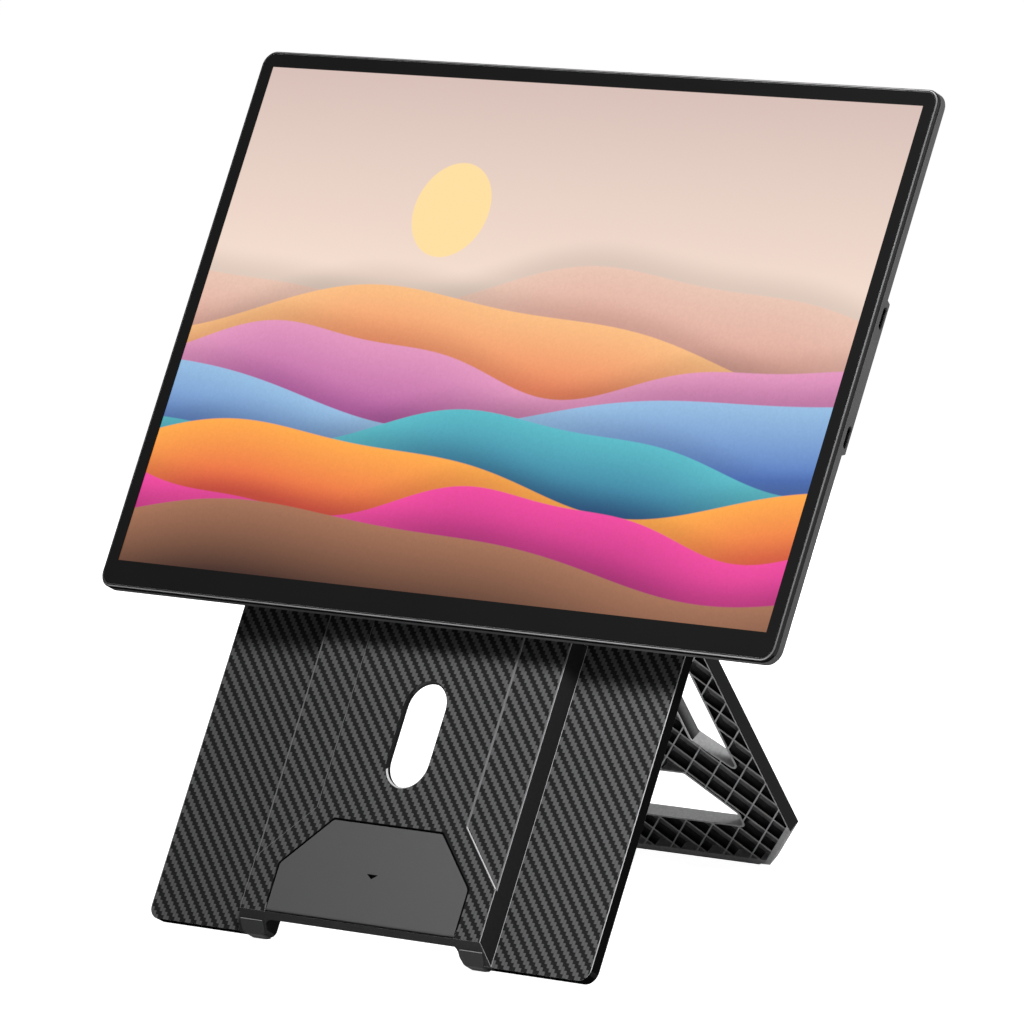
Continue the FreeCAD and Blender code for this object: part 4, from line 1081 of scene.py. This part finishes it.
def film_finish():
    """Black film with a faint orange-peel gloss."""
    film_black = (0.0045, 0.0045, 0.0046)
    peel_size = 0.002
    peel_depth = 0.00001
    cloud_size = 0.05
    material, tree, shader = new_finish("black_bezel_film", roughness=0.3, specular=0.05)
    place, _ = place_on(tree)
    peel = grain(tree, place, peel_size)
    tone = ranged(tree, grain(tree, place, cloud_size), 0.75, 1.25)
    tree.links.new(scaled(tree, film_black, tone), shader.inputs["Base Color"])
    tree.links.new(ranged(tree, peel, 0.25, 0.35), shader.inputs["Roughness"])
    relief(tree, shader, peel, peel_depth)
    return material


eased("bezel_frame", "display", frame_finish(), width=0.0001)
dress(film_finish(), "front_bezel")

# Backdrop, light and camera
# A plain pale floor, a soft key light in front on the right, a softbox high at the right and another
# behind, and the camera at the photograph's place.
FLOOR_HALF = 6.0
FLOOR_ALBEDO = 0.6
FILL = 0.05
WHITE = (1.0, 1.0, 1.0, 1.0)
floor_mesh = bpy.data.meshes.new("floor")
floor_shape = bmesh.new()
bmesh.ops.create_grid(floor_shape, x_segments=1, y_segments=1, size=FLOOR_HALF)
floor_shape.to_mesh(floor_mesh)
floor_shape.free()
floor = added("floor", floor_mesh)


def seen_by_eye(tree, lit, seen):
    """One shader for what the camera or a mirror sees, and the lit one for everything else."""
    path = tree.nodes.new("ShaderNodeLightPath").outputs
    mirrored = either(tree, path["Is Glossy Ray"], path["Is Transmission Ray"])
    mix = tree.nodes.new("ShaderNodeMixShader")
    tree.links.new(either(tree, path["Is Camera Ray"], mirrored), mix.inputs["Fac"])
    tree.links.new(lit, mix.inputs[1])
    tree.links.new(seen, mix.inputs[2])
    return mix.outputs["Shader"]


floor_finish = bpy.data.materials.new("pale_floor")
floor_finish.use_nodes = True
floor_tree = floor_finish.node_tree
floor_tree.nodes.clear()
floor_lit = floor_tree.nodes.new("ShaderNodeBsdfDiffuse")
floor_lit.inputs["Color"].default_value = (FLOOR_ALBEDO, FLOOR_ALBEDO, FLOOR_ALBEDO, 1.0)
floor_white = floor_tree.nodes.new("ShaderNodeEmission")
floor_white.inputs["Color"].default_value = WHITE
floor_white.inputs["Strength"].default_value = 1.0 - FILL * FLOOR_ALBEDO
floor_seen = floor_tree.nodes.new("ShaderNodeAddShader")
floor_tree.links.new(floor_lit.outputs["BSDF"], floor_seen.inputs[0])
floor_tree.links.new(floor_white.outputs["Emission"], floor_seen.inputs[1])
floor_shown = seen_by_eye(floor_tree, floor_lit.outputs["BSDF"], floor_seen.outputs["Shader"])
floor_out = floor_tree.nodes.new("ShaderNodeOutputMaterial")
floor_tree.links.new(floor_shown, floor_out.inputs["Surface"])
floor_mesh.materials.append(floor_finish)

world = bpy.data.worlds.new("studio")
bpy.context.scene.world = world
world.use_nodes = True
world_tree = world.node_tree
world_tree.nodes.clear()


def plain_sky(strength):
    """Even white light from all round."""
    sky = world_tree.nodes.new("ShaderNodeBackground")
    sky.inputs["Color"].default_value = WHITE
    sky.inputs["Strength"].default_value = strength
    return sky.outputs["Background"]


world_out = world_tree.nodes.new("ShaderNodeOutputWorld")
world_shown = seen_by_eye(world_tree, plain_sky(FILL), plain_sky(1.0))
world_tree.links.new(world_shown, world_out.inputs["Surface"])


def softbox(name, place, aim, size, watts):
    """Square soft light at a place, turned to a point."""
    lamp = bpy.data.lights.new(name, "AREA")
    lamp.shape = "SQUARE"
    lamp.size = size
    lamp.energy = watts
    box = added(name, lamp)
    box.location = place
    box.rotation_euler = (Vector(aim) - Vector(place)).to_track_quat("-Z", "Y").to_euler()
    box.visible_camera = False


softbox("key", place=(0.30, -0.286, 0.52), aim=(0.0, -0.066, 0.063), size=0.15, watts=4.4)
softbox("side", place=(0.70, 0.21, 0.52), aim=(0.03, 0.04, 0.06), size=0.35, watts=5.0)
softbox("back", place=(-0.45, 0.75, 0.35), aim=(0.0, 0.0, 0.15), size=0.4, watts=7.0)

camera_data = bpy.data.cameras.new("camera")
camera_data.sensor_width = 36.0
camera_data.lens = 318.038
camera_data.clip_end = 50.0
camera = added("camera", camera_data)
camera.location = (2.381, -2.584769, 0.793470)
camera.rotation_euler = Euler((1.391768, 0.058823, 0.733828), "XYZ")
bpy.context.scene.camera = camera
bpy.context.scene.view_settings.view_transform = "Standard"
